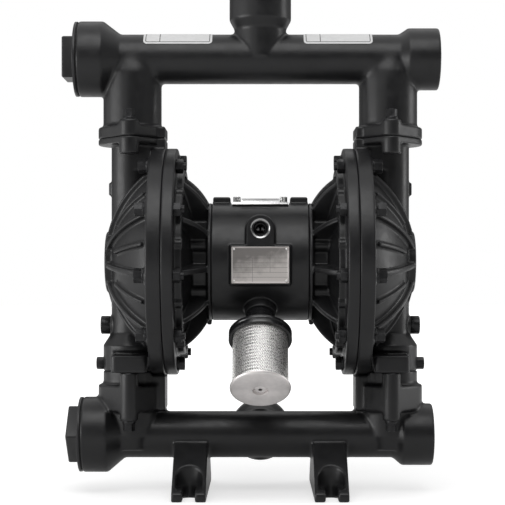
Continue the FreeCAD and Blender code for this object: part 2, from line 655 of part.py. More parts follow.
def fluid_cap():
    """Right-hand fluid cap: ribbed dome, flow column with the lower ball cage, and joint flanges."""
    inner_x = COLUMN_X - JOINT_R
    dome_top = HUB_X - HUB_THICKNESS
    shell = turned((SPLIT_X, 0), [
        (SPLIT_X, FLANGE_R - SPLIT_CHAMFER), (SPLIT_X + SPLIT_CHAMFER, FLANGE_R),
        (FLANGE_OUTER_X - SPLIT_CHAMFER, FLANGE_R), (FLANGE_OUTER_X, FLANGE_R - SPLIT_CHAMFER),
        (FLANGE_OUTER_X, DOME_R), (dome_point(0, 0.5), (dome_top, HUB_R)),
        (HUB_X - SPLIT_CHAMFER, HUB_R), (HUB_X, HUB_R - SPLIT_CHAMFER), (HUB_X, 0)])
    pieces = [shell]
    pieces += [dome_rib(MAJOR_RIB_PROUD, MAJOR_RIB_THICKNESS, MAJOR_RIB_SPAN, angle) for angle in BOLT_ANGLES]
    pieces += [dome_rib(MINOR_RIB_PROUD, MINOR_RIB_THICKNESS, MINOR_RIB_SPAN, angle) for angle in HALF_ANGLES]
    pieces += [cylinder(SPOT_BOSS_R, SPOT_BOSS_HEIGHT + OVERRUN,
                        ring_point(FLANGE_OUTER_X - OVERRUN, BOLT_CIRCLE_R, angle), X)
               for angle in through_angles()]
    flange_low = UPPER_JOINT_Z - CAP_FLANGE_THICKNESS
    band_top = LOWER_JOINT_Z + JOINT_BAND_HEIGHT
    cage_top = LOWER_JOINT_Z + CAGE_HEIGHT
    pad_z = UPPER_JOINT_Z - DUCT_PAD_DROP
    purge = Vector(COLUMN_X, 0, LOWER_JOINT_Z + PURGE_RISE)
    pieces += [
        cylinder(DUCT_R, UPPER_JOINT_Z - cage_top, Vector(COLUMN_X, 0, cage_top)),
        block(Vector(inner_x, -DUCT_R, AXIS_Z + DOME_R), Vector(COLUMN_X, DUCT_R, UPPER_JOINT_Z)),
        joint_plate(JOINT_R, UPPER_BOSS_R, flange_low, UPPER_JOINT_Z, inner_x),
        block(Vector(inner_x, -DUCT_R, LOWER_JOINT_Z), Vector(COLUMN_X, DUCT_R, band_top)),
        block(Vector(COLUMN_X - LOWER_BOSS_R, 0, LOWER_JOINT_Z),
              Vector(COLUMN_X + LOWER_BOSS_R, JOINT_BOLT_SPACING, band_top)),
        front_pad(LOWER_JOINT_Z, band_top),
        cylinder(CAGE_R, cage_top - LOWER_JOINT_Z, Vector(COLUMN_X, 0, LOWER_JOINT_Z)),
        cylinder(SEAT_R - SPIGOT_CLEARANCE, cage_top - LOWER_SEAT_TOP, Vector(COLUMN_X, 0, LOWER_SEAT_TOP)),
        cone(CAGE_R, DUCT_R, CAGE_SHOULDER, Vector(COLUMN_X, 0, cage_top)),
        cylinder(PURGE_R, DUCT_R + PURGE_BOSS_PROUD, purge, X),
        block(Vector(COLUMN_X, -DUCT_PAD / 2, pad_z - DUCT_PAD / 2),
              Vector(COLUMN_X + DUCT_R + DUCT_PAD_PROUD, DUCT_PAD / 2, pad_z + DUCT_PAD / 2))]
    pieces += bosses(UPPER_BOSS_R, UPPER_JOINT_Z - UPPER_BOSS_BELOW, UPPER_JOINT_Z)
    pieces += bosses(LOWER_BOSS_R, LOWER_JOINT_Z, band_top)
    cap = fuse(pieces)
    groove_x = SPLIT_X + DIAPHRAGM_RIM_THICKNESS / 2
    cavity_end = dome_point(-DOME_WALL, 1.0)
    face_x = SPLIT_X - OVERRUN
    chamber = turned((face_x, 0), [
        (face_x, GROOVE_R), (groove_x, GROOVE_R), (groove_x, DIAPHRAGM_WEB_R),
        dome_point(-DOME_WALL, 0.0), (dome_point(-DOME_WALL, 0.5), cavity_end), (cavity_end[0], 0)])
    tools = [chamber,
             flow_passage(LOWER_SEAT_TOP - OVERRUN, LOWER_BALL_Z, DUCT_BORE_R, UPPER_JOINT_Z + OVERRUN),
             ring(SEAT_R + SPIGOT_CLEARANCE, SEAT_R - SPIGOT_CLEARANCE, LOWER_JOINT_Z - LOWER_SEAT_TOP,
                  Vector(COLUMN_X, 0, LOWER_SEAT_TOP))]
    bolt_way = FLUID_FLANGE_THICKNESS + SPOT_BOSS_HEIGHT + 2 * OVERRUN
    tools += [cylinder(BOLT_R + HOLE_CLEARANCE, bolt_way, ring_point(face_x, BOLT_CIRCLE_R, angle), X)
              for angle in through_angles()]
    tools += [cylinder(BOLT_R, SHORT_SCREW_GRIP + THREAD_RUNOUT, ring_point(face_x, BOLT_CIRCLE_R, angle), X)
              for angle in blind_angles()]
    tools += [cylinder(SPOT_BOSS_R, BOLT_WASHER_HEIGHT + BOLT_HEAD_HEIGHT + HEAD_CLEARANCE,
                       ring_point(FLANGE_OUTER_X + SPOT_BOSS_HEIGHT, BOLT_CIRCLE_R, angle), X)
              for angle in through_angles()]
    tap = JOINT_BOLT_R + THREAD_FIT
    tools += bosses(tap, UPPER_JOINT_Z - UPPER_BOSS_BELOW + THREAD_RUNOUT, UPPER_JOINT_Z + OVERRUN)
    tools += bosses(tap, LOWER_JOINT_Z - OVERRUN, band_top - 2 * OVERRUN)
    drain = Vector(drain_face_x(), 0, LOWER_JOINT_Z + DRAIN_RISE)
    groove = ring(CAGE_R + DRAIN_SEAT_DEPTH, CAGE_R - CAGE_GROOVE_DEPTH, CAGE_GROOVE_HEIGHT,
                  Vector(COLUMN_X, 0, band_top))
    tools += [
        groove.common(block(Vector(FLANGE_OUTER_X, -2 * CAGE_R, band_top),
                            Vector(COLUMN_X + LOWER_PAD_HALF, 0, AXIS_Z))),
        cylinder(DRAIN_FLATS / math.sqrt(3) + HEAD_CLEARANCE, DRAIN_HEAD, drain, X),
        cylinder(DRAIN_SHANK_R + THREAD_FIT, CAGE_R, drain - X * CAGE_R, X),
        cylinder(PURGE_SHANK_R + THREAD_FIT, DUCT_R + PURGE_BOSS_PROUD + OVERRUN, purge, X)]
    cap = cap.cut(tools)
    return fuse([cap, cage_ribs(LOWER_SEAT_TOP, LOWER_BALL_Z, DUCT_BORE_R)])


def drain_face_x():
    """Distance of the drain plug's spot face from the middle of the pump."""
    return COLUMN_X + CAGE_R - DRAIN_SEAT_DEPTH


def near_column(angle):
    """True where a chamber bolt would run into the flow column."""
    return abs(BOLT_CIRCLE_R * math.cos(math.radians(angle))) < DUCT_R + BOLT_WASHER_R


def through_angles():
    """Angles of the bolts that pass through both flanges."""
    return [angle for angle in BOLT_ANGLES if not near_column(angle)]


def blind_angles():
    """Angles of the screws that enter from the air side, beside the flow column."""
    return [angle for angle in BOLT_ANGLES if near_column(angle)]


def port_end(pipe_z, pipe_r, reach, radius, length, cone_length):
    """Right-hand end of a manifold pipe: the thicker port with its cone."""
    face_x = COLUMN_X + reach
    return [cylinder(radius, length, Vector(face_x - length, 0, pipe_z), X),
            cone(pipe_r, radius, cone_length, Vector(face_x - length - cone_length, 0, pipe_z), X)]


def port_tools(pipe_z, reach, bore_r, depth):
    """Threaded mouth of a right-hand pipe end."""
    face_x = COLUMN_X + reach
    mouth_x = face_x - PORT_MOUTH_CHAMFER + OVERRUN
    return [cylinder(bore_r, depth + OVERRUN, Vector(face_x - depth, 0, pipe_z), X),
            cone(bore_r, bore_r + PORT_MOUTH_CHAMFER, PORT_MOUTH_CHAMFER, Vector(mouth_x, 0, pipe_z), X)]


def centre_port(pipe_z, axis):
    """Middle port of a manifold, its neck rising from the pipe."""
    start = Vector(0, 0, pipe_z)
    boss_at = CENTRE_PORT_REACH - CENTRE_PORT_LENGTH
    return [cylinder(CENTRE_NECK_R, boss_at, start, axis),
            cone(CENTRE_NECK_R, PORT_R, CENTRE_CONE, start + axis * (boss_at - CENTRE_CONE), axis),
            cylinder(PORT_R, CENTRE_PORT_LENGTH, start + axis * boss_at, axis)]


def centre_port_tools(pipe_z, axis):
    """Threaded mouth and bore of a middle port."""
    start = Vector(0, 0, pipe_z)
    mouth = start + axis * (CENTRE_PORT_REACH - PORT_MOUTH_CHAMFER + OVERRUN)
    return [cylinder(PIPE_BORE_R, CENTRE_PORT_REACH, start, axis),
            cylinder(PORT_THREAD_R, PORT_THREAD_DEPTH + OVERRUN,
                     start + axis * (CENTRE_PORT_REACH - PORT_THREAD_DEPTH), axis),
            cone(PORT_THREAD_R, PORT_THREAD_R + PORT_MOUTH_CHAMFER, PORT_MOUTH_CHAMFER, mouth, axis)]


def outlet_manifold():
    """Top pipe with two legs, upper ball cages, two open ports and one blanked port."""
    right_end = COLUMN_X + OUTLET_RIGHT_REACH
    left_end = COLUMN_X + OUTLET_LEFT_REACH
    pieces = [cylinder(PIPE_R, right_end + left_end - 2 * PIPE_INSIDE_PORT,
                       Vector(PIPE_INSIDE_PORT - left_end, 0, OUTLET_Z), X)]
    pieces += port_end(OUTLET_Z, PIPE_R, OUTLET_RIGHT_REACH, PORT_R, PORT_LENGTH, PORT_CONE)
    pieces += [sided(piece, LEFT) for piece in
               port_end(OUTLET_Z, PIPE_R, OUTLET_LEFT_REACH, BLANK_PORT_R, BLANK_PORT_LENGTH, BLANK_CONE)]
    pieces += centre_port(OUTLET_Z, Z)
    taper_z = OUTLET_Z - PIPE_R * PIPE_TAPER_SHARE
    flange_top = UPPER_JOINT_Z + MANIFOLD_FLANGE_THICKNESS
    leg = [cylinder(LEG_R, taper_z - UPPER_JOINT_Z, Vector(COLUMN_X, 0, UPPER_JOINT_Z)),
           cone(LEG_R, PIPE_R, OUTLET_Z - taper_z, Vector(COLUMN_X, 0, taper_z)),
           joint_plate(JOINT_R, UPPER_BOSS_R, UPPER_JOINT_Z, flange_top, COLUMN_X - JOINT_R)]
    leg += bosses(UPPER_BOSS_R, UPPER_JOINT_Z, UPPER_JOINT_Z + UPPER_BOSS_ABOVE)
    for piece in leg:
        pieces += both_sides(piece)
    body = fuse(pieces)
    tools = [cylinder(PIPE_BORE_R, right_end + left_end, Vector(-left_end, 0, OUTLET_Z), X)]
    tools += port_tools(OUTLET_Z, OUTLET_RIGHT_REACH, PORT_THREAD_R, PORT_THREAD_DEPTH)
    tools.append(sided(port_tools(OUTLET_Z, OUTLET_LEFT_REACH, BLANK_BORE_R, BLANK_BORE_DEPTH)[0], LEFT))
    tools += centre_port_tools(OUTLET_Z, Z)
    low_z = UPPER_JOINT_Z - OVERRUN
    seat_room = cylinder(SEAT_R + THREAD_FIT, SEAT_HEIGHT + SEAT_RING_HEIGHT + OVERRUN,
                         Vector(COLUMN_X, 0, low_z))
    passage = flow_passage(UPPER_SEAT_TOP, UPPER_BALL_Z, PIPE_BORE_R, OUTLET_Z)
    holes = bosses(JOINT_BOLT_R + HOLE_CLEARANCE, low_z, UPPER_JOINT_Z + UPPER_BOSS_ABOVE + OVERRUN)
    for tool in [seat_room, passage] + holes:
        tools += both_sides(tool)
    ribs = cage_ribs(UPPER_SEAT_TOP + SEAT_RING_HEIGHT, UPPER_BALL_Z, PIPE_BORE_R)
    return fuse([body.cut(tools)] + both_sides(ribs))


def labels():
    """Two blank labels laid over the front of the outlet pipe's top."""
    low_z = OUTLET_Z + PIPE_R * math.sin(math.radians(LABEL_ANGLE))
    solids = []
    for middle in LABEL_MIDDLES:
        start = Vector(middle - LABEL_LENGTH / 2, 0, OUTLET_Z)
        skin_r = PIPE_R + LABEL_GLUE
        skin = ring(skin_r + LABEL_THICKNESS, skin_r, LABEL_LENGTH, start, X)
        solids.append(skin.common(block(
            Vector(start.x - OVERRUN, -2 * PIPE_R, low_z),
            Vector(start.x + LABEL_LENGTH + OVERRUN, 0, OUTLET_Z + 2 * PIPE_R))))
    return group(solids)


def foot():
    """Right-hand foot under the inlet pipe, with its bolt slots front and back."""
    side = [(-FOOT_REACH, 0), (FOOT_REACH, 0), (FOOT_REACH, FOOT_TOE_HEIGHT), (FOOT_START_Y, FOOT_START_Z),
            (-FOOT_START_Y, FOOT_START_Z), (-FOOT_REACH, FOOT_TOE_HEIGHT)]
    points = [Vector(FOOT_SPACING - FOOT_WIDTH / 2, y, z) for y, z in side + side[:1]]
    body = Part.Face(Part.makePolygon(points)).extrude(Vector(FOOT_WIDTH, 0, 0))
    tools = []
    for way in (-1, 1):
        far_y = way * (FOOT_REACH + OVERRUN)
        pocket_y = way * FOOT_BOLT_Y
        slot_y = way * (FOOT_BOLT_Y - FOOT_SLOT_DEPTH)
        for radius, y, low_z, high_z in ((FOOT_POCKET_R, pocket_y, FOOT_BASE, FOOT_START_Z),
                                         (FOOT_SLOT_R, slot_y, -OVERRUN, FOOT_BASE + OVERRUN)):
            tools.append(cylinder(radius, high_z - low_z, Vector(FOOT_SPACING, y, low_z)))
            tools.append(block(Vector(FOOT_SPACING - radius, min(y, far_y), low_z),
                               Vector(FOOT_SPACING + radius, max(y, far_y), high_z)))
    return body.cut(tools)


def inlet_manifold():
    """Bottom pipe on its feet, with two stubs, two open ports and one blanked port."""
    z = INLET_AXIS_HEIGHT
    right_end = COLUMN_X + INLET_RIGHT_REACH
    left_end = COLUMN_X + INLET_LEFT_REACH
    pieces = [cylinder(INLET_PIPE_R, right_end + left_end - 2 * PIPE_INSIDE_PORT,
                       Vector(PIPE_INSIDE_PORT - left_end, 0, z), X)]
    pieces += port_end(z, INLET_PIPE_R, INLET_RIGHT_REACH, PORT_R, PORT_LENGTH, PORT_CONE)
    pieces += [sided(piece, LEFT) for piece in
               port_end(z, INLET_PIPE_R, INLET_LEFT_REACH, BLANK_PORT_R, BLANK_PORT_LENGTH, BLANK_CONE)]
    pieces += centre_port(z, Y)
    notch_z = LOWER_JOINT_Z - STUB_NOTCH_HEIGHT
    taper = INLET_PIPE_R * PIPE_TAPER_SHARE
    boss_low = LOWER_JOINT_Z - LOWER_BOSS_LENGTH
    web_half = LOWER_BOSS_R * STUB_WEB_SHARE
    skirt_z = LOWER_JOINT_Z - STUB_SKIRT_HEIGHT
    flange_room = cylinder(FLANGE_R + HEAD_CLEARANCE, FLUID_FLANGE_THICKNESS + 2 * OVERRUN,
                           Vector(SPLIT_X - OVERRUN, 0, AXIS_Z), X)
    neck = fuse([
        cylinder(CAGE_R, LOWER_JOINT_Z - notch_z, Vector(COLUMN_X, 0, notch_z)),
        block(Vector(COLUMN_X - JOINT_R, -DUCT_R, notch_z), Vector(COLUMN_X, DUCT_R, LOWER_JOINT_Z))
    ]).cut(flange_room)
    stub = [cylinder(STUB_R, skirt_z - z, Vector(COLUMN_X, 0, z)),
            cone(INLET_PIPE_R, STUB_R, taper, Vector(COLUMN_X, 0, z - taper)),
            joint_plate(JOINT_R, LOWER_BOSS_R, skirt_z, notch_z, COLUMN_X - JOINT_R),
            neck,
            block(Vector(COLUMN_X - web_half, -JOINT_BOLT_SPACING, boss_low + STUB_WEB_RISE),
                  Vector(COLUMN_X + web_half, JOINT_BOLT_SPACING, LOWER_JOINT_Z)),
            foot()]
    stub += bosses(LOWER_BOSS_R, boss_low, LOWER_JOINT_Z)
    for piece in stub:
        pieces += both_sides(piece)
    body = fuse(pieces)
    tools = [cylinder(PIPE_BORE_R, right_end + left_end, Vector(-left_end, 0, z), X)]
    tools += port_tools(z, INLET_RIGHT_REACH, PORT_THREAD_R, PORT_THREAD_DEPTH)
    tools.append(sided(port_tools(z, INLET_LEFT_REACH, BLANK_BORE_R, BLANK_BORE_DEPTH)[0], LEFT))
    tools += centre_port_tools(z, Y)
    seat_low = LOWER_SEAT_TOP - SEAT_HEIGHT - SEAT_RING_HEIGHT
    stub_tools = [
        cylinder(SEAT_R + THREAD_FIT, LOWER_JOINT_Z - seat_low + OVERRUN, Vector(COLUMN_X, 0, seat_low)),
        cylinder(STUB_R - STUB_WALL, LOWER_JOINT_Z - z, Vector(COLUMN_X, 0, z))]
    stub_tools += bosses(JOINT_BOLT_R + HOLE_CLEARANCE, boss_low - OVERRUN, LOWER_JOINT_Z + OVERRUN)
    stub_tools += bosses(JOINT_WASHER_R + HEAD_CLEARANCE, boss_low - JOINT_BOLT_HEAD * 2, boss_low)
    for tool in stub_tools:
        tools += both_sides(tool)
    return body.cut(tools)


def muffler_axis():
    """Direction of the muffler, down and towards the front."""
    a = math.radians(MUFFLER_TILT)
    return Vector(0, -math.sin(a), -math.cos(a))


def on_muffler(shape):
    """Shape drawn along +Z from the chamber axis, turned onto the muffler's axis."""
    return aimed(shape, CHAMBER, muffler_axis())


def centre_body():
    """Middle casting: shaft bore, valve bore, air inlet, nameplate pad and exhaust boss."""
    pad_half = PLATE_PAD_WIDTH / 2
    boss_r = AIR_INLET_BOSS_R
    inlet_face = Vector(0, AIR_INLET_FACE_Y, AIR_INLET_Z)
    pieces = [
        cylinder(BODY_R, 2 * BODY_HALF, Vector(-BODY_HALF, 0, AXIS_Z), X),
        block(Vector(-pad_half, PLATE_FACE_Y, PLATE_Z - PLATE_PAD_HEIGHT / 2),
              Vector(pad_half, -BODY_R / 2, PLATE_Z + PLATE_PAD_HEIGHT / 2)),
        cylinder(boss_r, BODY_R, inlet_face, Y),
        block(Vector(-boss_r, AIR_INLET_FACE_Y, PLATE_Z), Vector(boss_r, -BODY_R / 2, AIR_INLET_Z)),
        on_muffler(cylinder(MUFFLER_BOSS_R, BODY_R + MUFFLER_BOSS_PROUD, ORIGIN))]
    top_z = AXIS_Z + BODY_R + TOP_PAD_PROUD
    pad = block(Vector(TOP_PAD_X - TOP_PAD_WIDTH / 2, -TOP_PAD_DEPTH / 2, AXIS_Z + BODY_R / 2),
                Vector(TOP_PAD_X + TOP_PAD_WIDTH / 2, TOP_PAD_DEPTH / 2, top_z))
    rim = [edge for edge in pad.Edges if edge.BoundBox.ZMin > top_z - OVERRUN]
    pieces += both_sides(pad.makeFillet(EDGE_FILLET, rim))
    body = fuse(pieces)
    cover_x = COVER_HALF + HEAD_CLEARANCE
    shaft_end = BUSHING_LENGTH + SEAL_LENGTH
    tools = [
        block(Vector(-cover_x, -BODY_R, TOP_FLAT_Z), Vector(cover_x, BODY_R, top_z + BODY_R)),
        cylinder(SHAFT_CLEAR_BORE_R, 2 * BODY_HALF, Vector(-BODY_HALF, 0, AXIS_Z), X),
        cylinder(VALVE_BORE_R, 2 * (BODY_HALF + OVERRUN), Vector(-BODY_HALF - OVERRUN, 0, VALVE_Z), X),
        cylinder(PILOT_R + HEAD_CLEARANCE, 2 * BODY_HALF, Vector(-BODY_HALF, PILOT_OFFSET, AXIS_Z), X),
        cylinder(AIR_THREAD_R, AIR_THREAD_DEPTH + OVERRUN, inlet_face - Y * OVERRUN, Y),
        cone(AIR_THREAD_R + AIR_CHAMFER, AIR_THREAD_R, AIR_CHAMFER, inlet_face, Y),
        cylinder(AIR_PASSAGE_R, -AIR_INLET_FACE_Y, inlet_face, Y),
        on_muffler(cylinder(EXHAUST_R, BODY_R, Vector(0, 0, EXHAUST_START))),
        on_muffler(cylinder(MUFFLER_THREAD_R, MUFFLER_THREAD_DEPTH + OVERRUN,
                            Vector(0, 0, BODY_R + MUFFLER_BOSS_PROUD - MUFFLER_THREAD_DEPTH)))]
    exhaust_top = Vector(0, OVERRUN - VALVE_BORE_R, VALVE_Z)
    exhaust_low = CHAMBER + muffler_axis() * (EXHAUST_START + EXHAUST_R)
    run = exhaust_low - exhaust_top
    tools.append(cylinder(AIR_PASSAGE_R, run.Length, exhaust_top, run.normalize()))
    port = ring_point(BODY_HALF, AIR_PORT_CIRCLE_R, AIR_PORT_ANGLE)
    side_tools = [
        cylinder(BUSHING_R, shaft_end + OVERRUN, Vector(BODY_HALF - shaft_end, 0, AXIS_Z), X),
        cylinder(PILOT_BUSH_R, PILOT_BUSH_LENGTH + OVERRUN,
                 Vector(BODY_HALF - PILOT_BUSH_LENGTH, PILOT_OFFSET, AXIS_Z), X),
        cylinder(AIR_PASSAGE_R, AIR_PORT_DEPTH + OVERRUN, port - X * AIR_PORT_DEPTH, X),
        cylinder(AIR_PASSAGE_R, -port.y, Vector(AIR_PORT_X, port.y, port.z), Y),
        ring(CAP_SEAL_R + CAP_SEAL_WIDTH, CAP_SEAL_R, CAP_SEAL_WIDTH + OVERRUN,
             Vector(BODY_HALF - CAP_SEAL_WIDTH, 0, AXIS_Z), X)]
    screw_low = BODY_HALF - CAP_SCREW_DEPTH - OVERRUN
    side_tools += [cylinder(CAP_SCREW_R + THREAD_FIT, CAP_SCREW_DEPTH + 2 * OVERRUN,
                            ring_point(screw_low, CAP_SCREW_CIRCLE_R, angle), X)
                   for angle in CAP_SCREW_ANGLES]
    side_tools += [cylinder(SCREW_R + THREAD_FIT, SCREW_DEPTH + 2 * OVERRUN,
                            Vector(COVER_SCREW_X, y, TOP_FLAT_Z - SCREW_DEPTH - OVERRUN))
                   for y in (-COVER_SCREW_Y, COVER_SCREW_Y)]
    for tool in side_tools:
        tools += both_sides(tool)
    for at in rivet_points():
        tools.append(cylinder(RIVET_SHANK_R + THREAD_FIT, RIVET_SHANK + OVERRUN, at - Y * OVERRUN, Y))
    return body.cut(tools)


def rivet_points():
    """Centres of the four nameplate rivets on the pad's face."""
    x = NAMEPLATE_WIDTH / 2 - RIVET_INSET
    z = NAMEPLATE_HEIGHT / 2 - RIVET_INSET
    return [Vector(sx * x, PLATE_FACE_Y, PLATE_Z + sz * z) for sx in (-1, 1) for sz in (-1, 1)]


def nameplate():
    """Thin metal plate on the pad, drilled for its rivets."""
    half_x, half_z = NAMEPLATE_WIDTH / 2, NAMEPLATE_HEIGHT / 2
    plate = block(Vector(-half_x, PLATE_FACE_Y - NAMEPLATE_THICKNESS, PLATE_Z - half_z),
                  Vector(half_x, PLATE_FACE_Y, PLATE_Z + half_z))
    through = NAMEPLATE_THICKNESS + 2 * OVERRUN
    return plate.cut([cylinder(RIVET_SHANK_R + THREAD_FIT, through, at - Y * (through - OVERRUN), Y)
                      for at in rivet_points()])


def nameplate_rivets():
    """Four round-headed rivets."""
    rivet = fuse([cylinder(RIVET_SHANK_R, RIVET_SHANK + NAMEPLATE_THICKNESS, ORIGIN),
                  cone(RIVET_R, RIVET_R * 0.7, RIVET_HEAD, ORIGIN, -Z)])
    return group([aimed(rivet, at - Y * NAMEPLATE_THICKNESS, Y) for at in rivet_points()])


def cover_screw_points():
    """Seats of the four valve cover screws."""
    z = COVER_Z + COVER_LUG_THICKNESS
    return [Vector(sx * COVER_SCREW_X, sy * COVER_SCREW_Y, z) for sx in (-1, 1) for sy in (-1, 1)]


def cover_plate(low_z, high_z, half_x):
    """Rectangular plate on the body's top flat."""
    return block(Vector(-half_x, -COVER_DEPTH / 2, low_z), Vector(half_x, COVER_DEPTH / 2, high_z))


def cover_holes():
    """Clearance holes of the valve cover screws."""
    stack = COVER_GASKET + COVER_THICKNESS + 2 * OVERRUN
    return [cylinder(SCREW_R + HOLE_CLEARANCE, stack, Vector(at.x, at.y, TOP_FLAT_Z - OVERRUN))
            for at in cover_screw_points()]


def valve_cover():
    """Raised cover plate with thinner lugs under its screws."""
    top = COVER_Z + COVER_THICKNESS
    plate = fuse([cover_plate(COVER_Z, COVER_Z + COVER_LUG_THICKNESS, COVER_HALF),
                  cover_plate(COVER_Z, top, COVER_BLOCK_HALF)])
    rim = [edge for edge in plate.Edges if edge.BoundBox.ZMin > top - BODY_GAP]
    return plate.makeChamfer(EDGE_FILLET / 2, rim).cut(cover_holes())


def valve_cover_gasket():
    """Flat gasket under the valve cover."""
    return cover_plate(TOP_FLAT_Z, COVER_Z, COVER_HALF).cut(cover_holes())


def valve_cover_screws():
    """Four socket cap screws."""
    screw = socket_screw(SCREW_HEAD_R, SCREW_HEAD_HEIGHT, SCREW_R, SCREW_DEPTH + COVER_LUG_THICKNESS)
    return group([aimed(screw, at, Z) for at in cover_screw_points()])


def air_cap_screws():
    """Sunk socket screws that hold both air caps to the centre body."""
    screw = socket_screw(CAP_SCREW_HEAD_R, CAP_SCREW_HEAD, CAP_SCREW_R,
                         AIR_FLOOR - CAP_SCREW_HEAD + CAP_SCREW_DEPTH)
    solids = []
    for angle in CAP_SCREW_ANGLES:
        at = ring_point(AIR_FLOOR_X - CAP_SCREW_HEAD, CAP_SCREW_CIRCLE_R, angle)
        solids += both_sides(aimed(screw, at, X))
    return group(solids)


def air_cap_seals():
    """Square rings in the centre body's end grooves."""
    outer_r = CAP_SEAL_R + CAP_SEAL_WIDTH - BODY_GAP
    return group(both_sides(ring(outer_r, CAP_SEAL_R + BODY_GAP, CAP_SEAL_WIDTH,
                                 Vector(BODY_HALF - CAP_SEAL_WIDTH, 0, AXIS_Z), X)))


def connecting_shaft():
    """Shaft through the centre body with a stepped end on each side."""
    end_x = DIAPHRAGM_OUTER_X + OUTER_PLATE_RIM
    shaft = fuse([cylinder(SHAFT_R, 2 * SHAFT_SHOULDER_X, Vector(-SHAFT_SHOULDER_X, 0, AXIS_Z), X),
                  cylinder(SHAFT_END_R, 2 * end_x, Vector(-end_x, 0, AXIS_Z), X)])
    tips = edges_at(shaft, X, end_x, SHAFT_END_R) + edges_at(shaft, X, -end_x, SHAFT_END_R)
    return shaft.makeChamfer(EDGE_FILLET, tips)


def shaft_bushings():
    """Plain bearings at both ends of the shaft bore."""
    low_x = BODY_HALF - SEAL_LENGTH - BUSHING_LENGTH
    return group(both_sides(ring(BUSHING_R, SHAFT_R + RUNNING_FIT, BUSHING_LENGTH,
                                 Vector(low_x, 0, AXIS_Z), X)))


def shaft_seals():
    """Lip seals outside the bearings, held in by the air caps."""
    return group(both_sides(ring(BUSHING_R, SHAFT_R + RUNNING_FIT, SEAL_LENGTH,
                                 Vector(BODY_HALF - SEAL_LENGTH, 0, AXIS_Z), X)))


def diaphragm():
    """Right-hand diaphragm: thick rim in the flange groove and one rolled convolution."""
    rim = DIAPHRAGM_RIM_THICKNESS / 2
    web = DIAPHRAGM_THICKNESS / 2
    middle_r = (PLATE_R + DIAPHRAGM_WEB_R) / 2
    bulge_x = SPLIT_X + DIAPHRAGM_BULGE
    flat_r = PLATE_R + HEAD_CLEARANCE
    rim_r = DIAPHRAGM_WEB_R + HEAD_CLEARANCE
    return turned((DIAPHRAGM_INNER_X, SHAFT_END_R), [
        (DIAPHRAGM_INNER_X, flat_r), ((bulge_x - web, middle_r), (SPLIT_X - web, DIAPHRAGM_WEB_R)),
        (SPLIT_X - rim, rim_r), (SPLIT_X - rim, DIAPHRAGM_R), (SPLIT_X + rim, DIAPHRAGM_R),
        (SPLIT_X + rim, rim_r), (SPLIT_X + web, DIAPHRAGM_WEB_R),
        ((bulge_x + web, middle_r), (DIAPHRAGM_OUTER_X, flat_r)), (DIAPHRAGM_OUTER_X, SHAFT_END_R)])


def outer_plate():
    """Right-hand domed plate on the fluid side, screwed onto the shaft's end."""
    rim_x = DIAPHRAGM_OUTER_X + OUTER_PLATE_RIM
    top_x = DIAPHRAGM_OUTER_X + OUTER_PLATE_DOME
    bulge_x = rim_x + (OUTER_PLATE_DOME - OUTER_PLATE_RIM) * 0.6
    plate = turned((DIAPHRAGM_OUTER_X, 0), [
        (DIAPHRAGM_OUTER_X, PLATE_R - PLATE_EDGE),
        ((DIAPHRAGM_OUTER_X + PLATE_EDGE, PLATE_R), (rim_x - PLATE_EDGE, PLATE_R - EDGE_FILLET)),
        ((bulge_x, PLATE_R * 0.6), (top_x, OUTER_PLATE_BOSS_R)), (top_x, 0)])
    return plate.cut(cylinder(SHAFT_END_R, OUTER_PLATE_RIM + OVERRUN,
                              Vector(DIAPHRAGM_OUTER_X - OVERRUN, 0, AXIS_Z), X))


def inner_washer():
    """Right-hand clamping washer on the air side."""
    return turned((SHAFT_SHOULDER_X, SHAFT_END_R), [
        (SHAFT_SHOULDER_X, PLATE_R - PLATE_EDGE), (SHAFT_SHOULDER_X + PLATE_EDGE, PLATE_R),
        (DIAPHRAGM_INNER_X - PLATE_EDGE, PLATE_R), (DIAPHRAGM_INNER_X, PLATE_R - PLATE_EDGE),
        (DIAPHRAGM_INNER_X, SHAFT_END_R)])


def check_ball(z):
    """Right-hand check ball."""
    return Part.makeSphere(BALL_R, Vector(COLUMN_X, 0, z))


def ball_seat(top_z, ball_z):
    """Right-hand seat ring with a ground pocket under its ball."""
    seat = ring(SEAT_R, SEAT_BORE_R, SEAT_HEIGHT, Vector(COLUMN_X, 0, top_z - SEAT_HEIGHT))
    return seat.cut(Part.makeSphere(BALL_R + BODY_GAP, Vector(COLUMN_X, 0, ball_z)))


def seat_rings():
    """Sealing rings beside the four seats."""
    solids = []
    for low_z in (UPPER_SEAT_TOP, LOWER_SEAT_TOP - SEAT_HEIGHT - SEAT_RING_HEIGHT):
        solids += both_sides(ring(SEAT_R - BODY_GAP, SEAT_R - SEAT_RING_WIDTH, SEAT_RING_HEIGHT,
                                  Vector(COLUMN_X, 0, low_z)))
    return group(solids)


def valve_sleeve():
    """Ported sleeve fixed in the valve bore."""
    sleeve = ring(VALVE_BORE_R, SLEEVE_BORE_R, 2 * SLEEVE_HALF, Vector(-SLEEVE_HALF, 0, VALVE_Z), X)
    ports = []
    for x in (-AIR_PORT_X, 0.0, AIR_PORT_X):
        for k in range(SLEEVE_PORTS):
            a = 2 * math.pi * k / SLEEVE_PORTS
            ports.append(cylinder(SLEEVE_PORT_R, VALVE_BORE_R + OVERRUN, Vector(x, 0, VALVE_Z),
                                  Vector(0, math.cos(a), math.sin(a))))
    return sleeve.cut(ports)


def spool_half():
    """Half length of the valve spool, so that it travels its stroke between the end caps."""
    return SLEEVE_HALF - SPOOL_TRAVEL - BODY_GAP


def land_starts():
    """Left ends of the spool's three lands."""
    half = spool_half()
    return (-half, -SPOOL_LAND / 2, half - SPOOL_LAND)


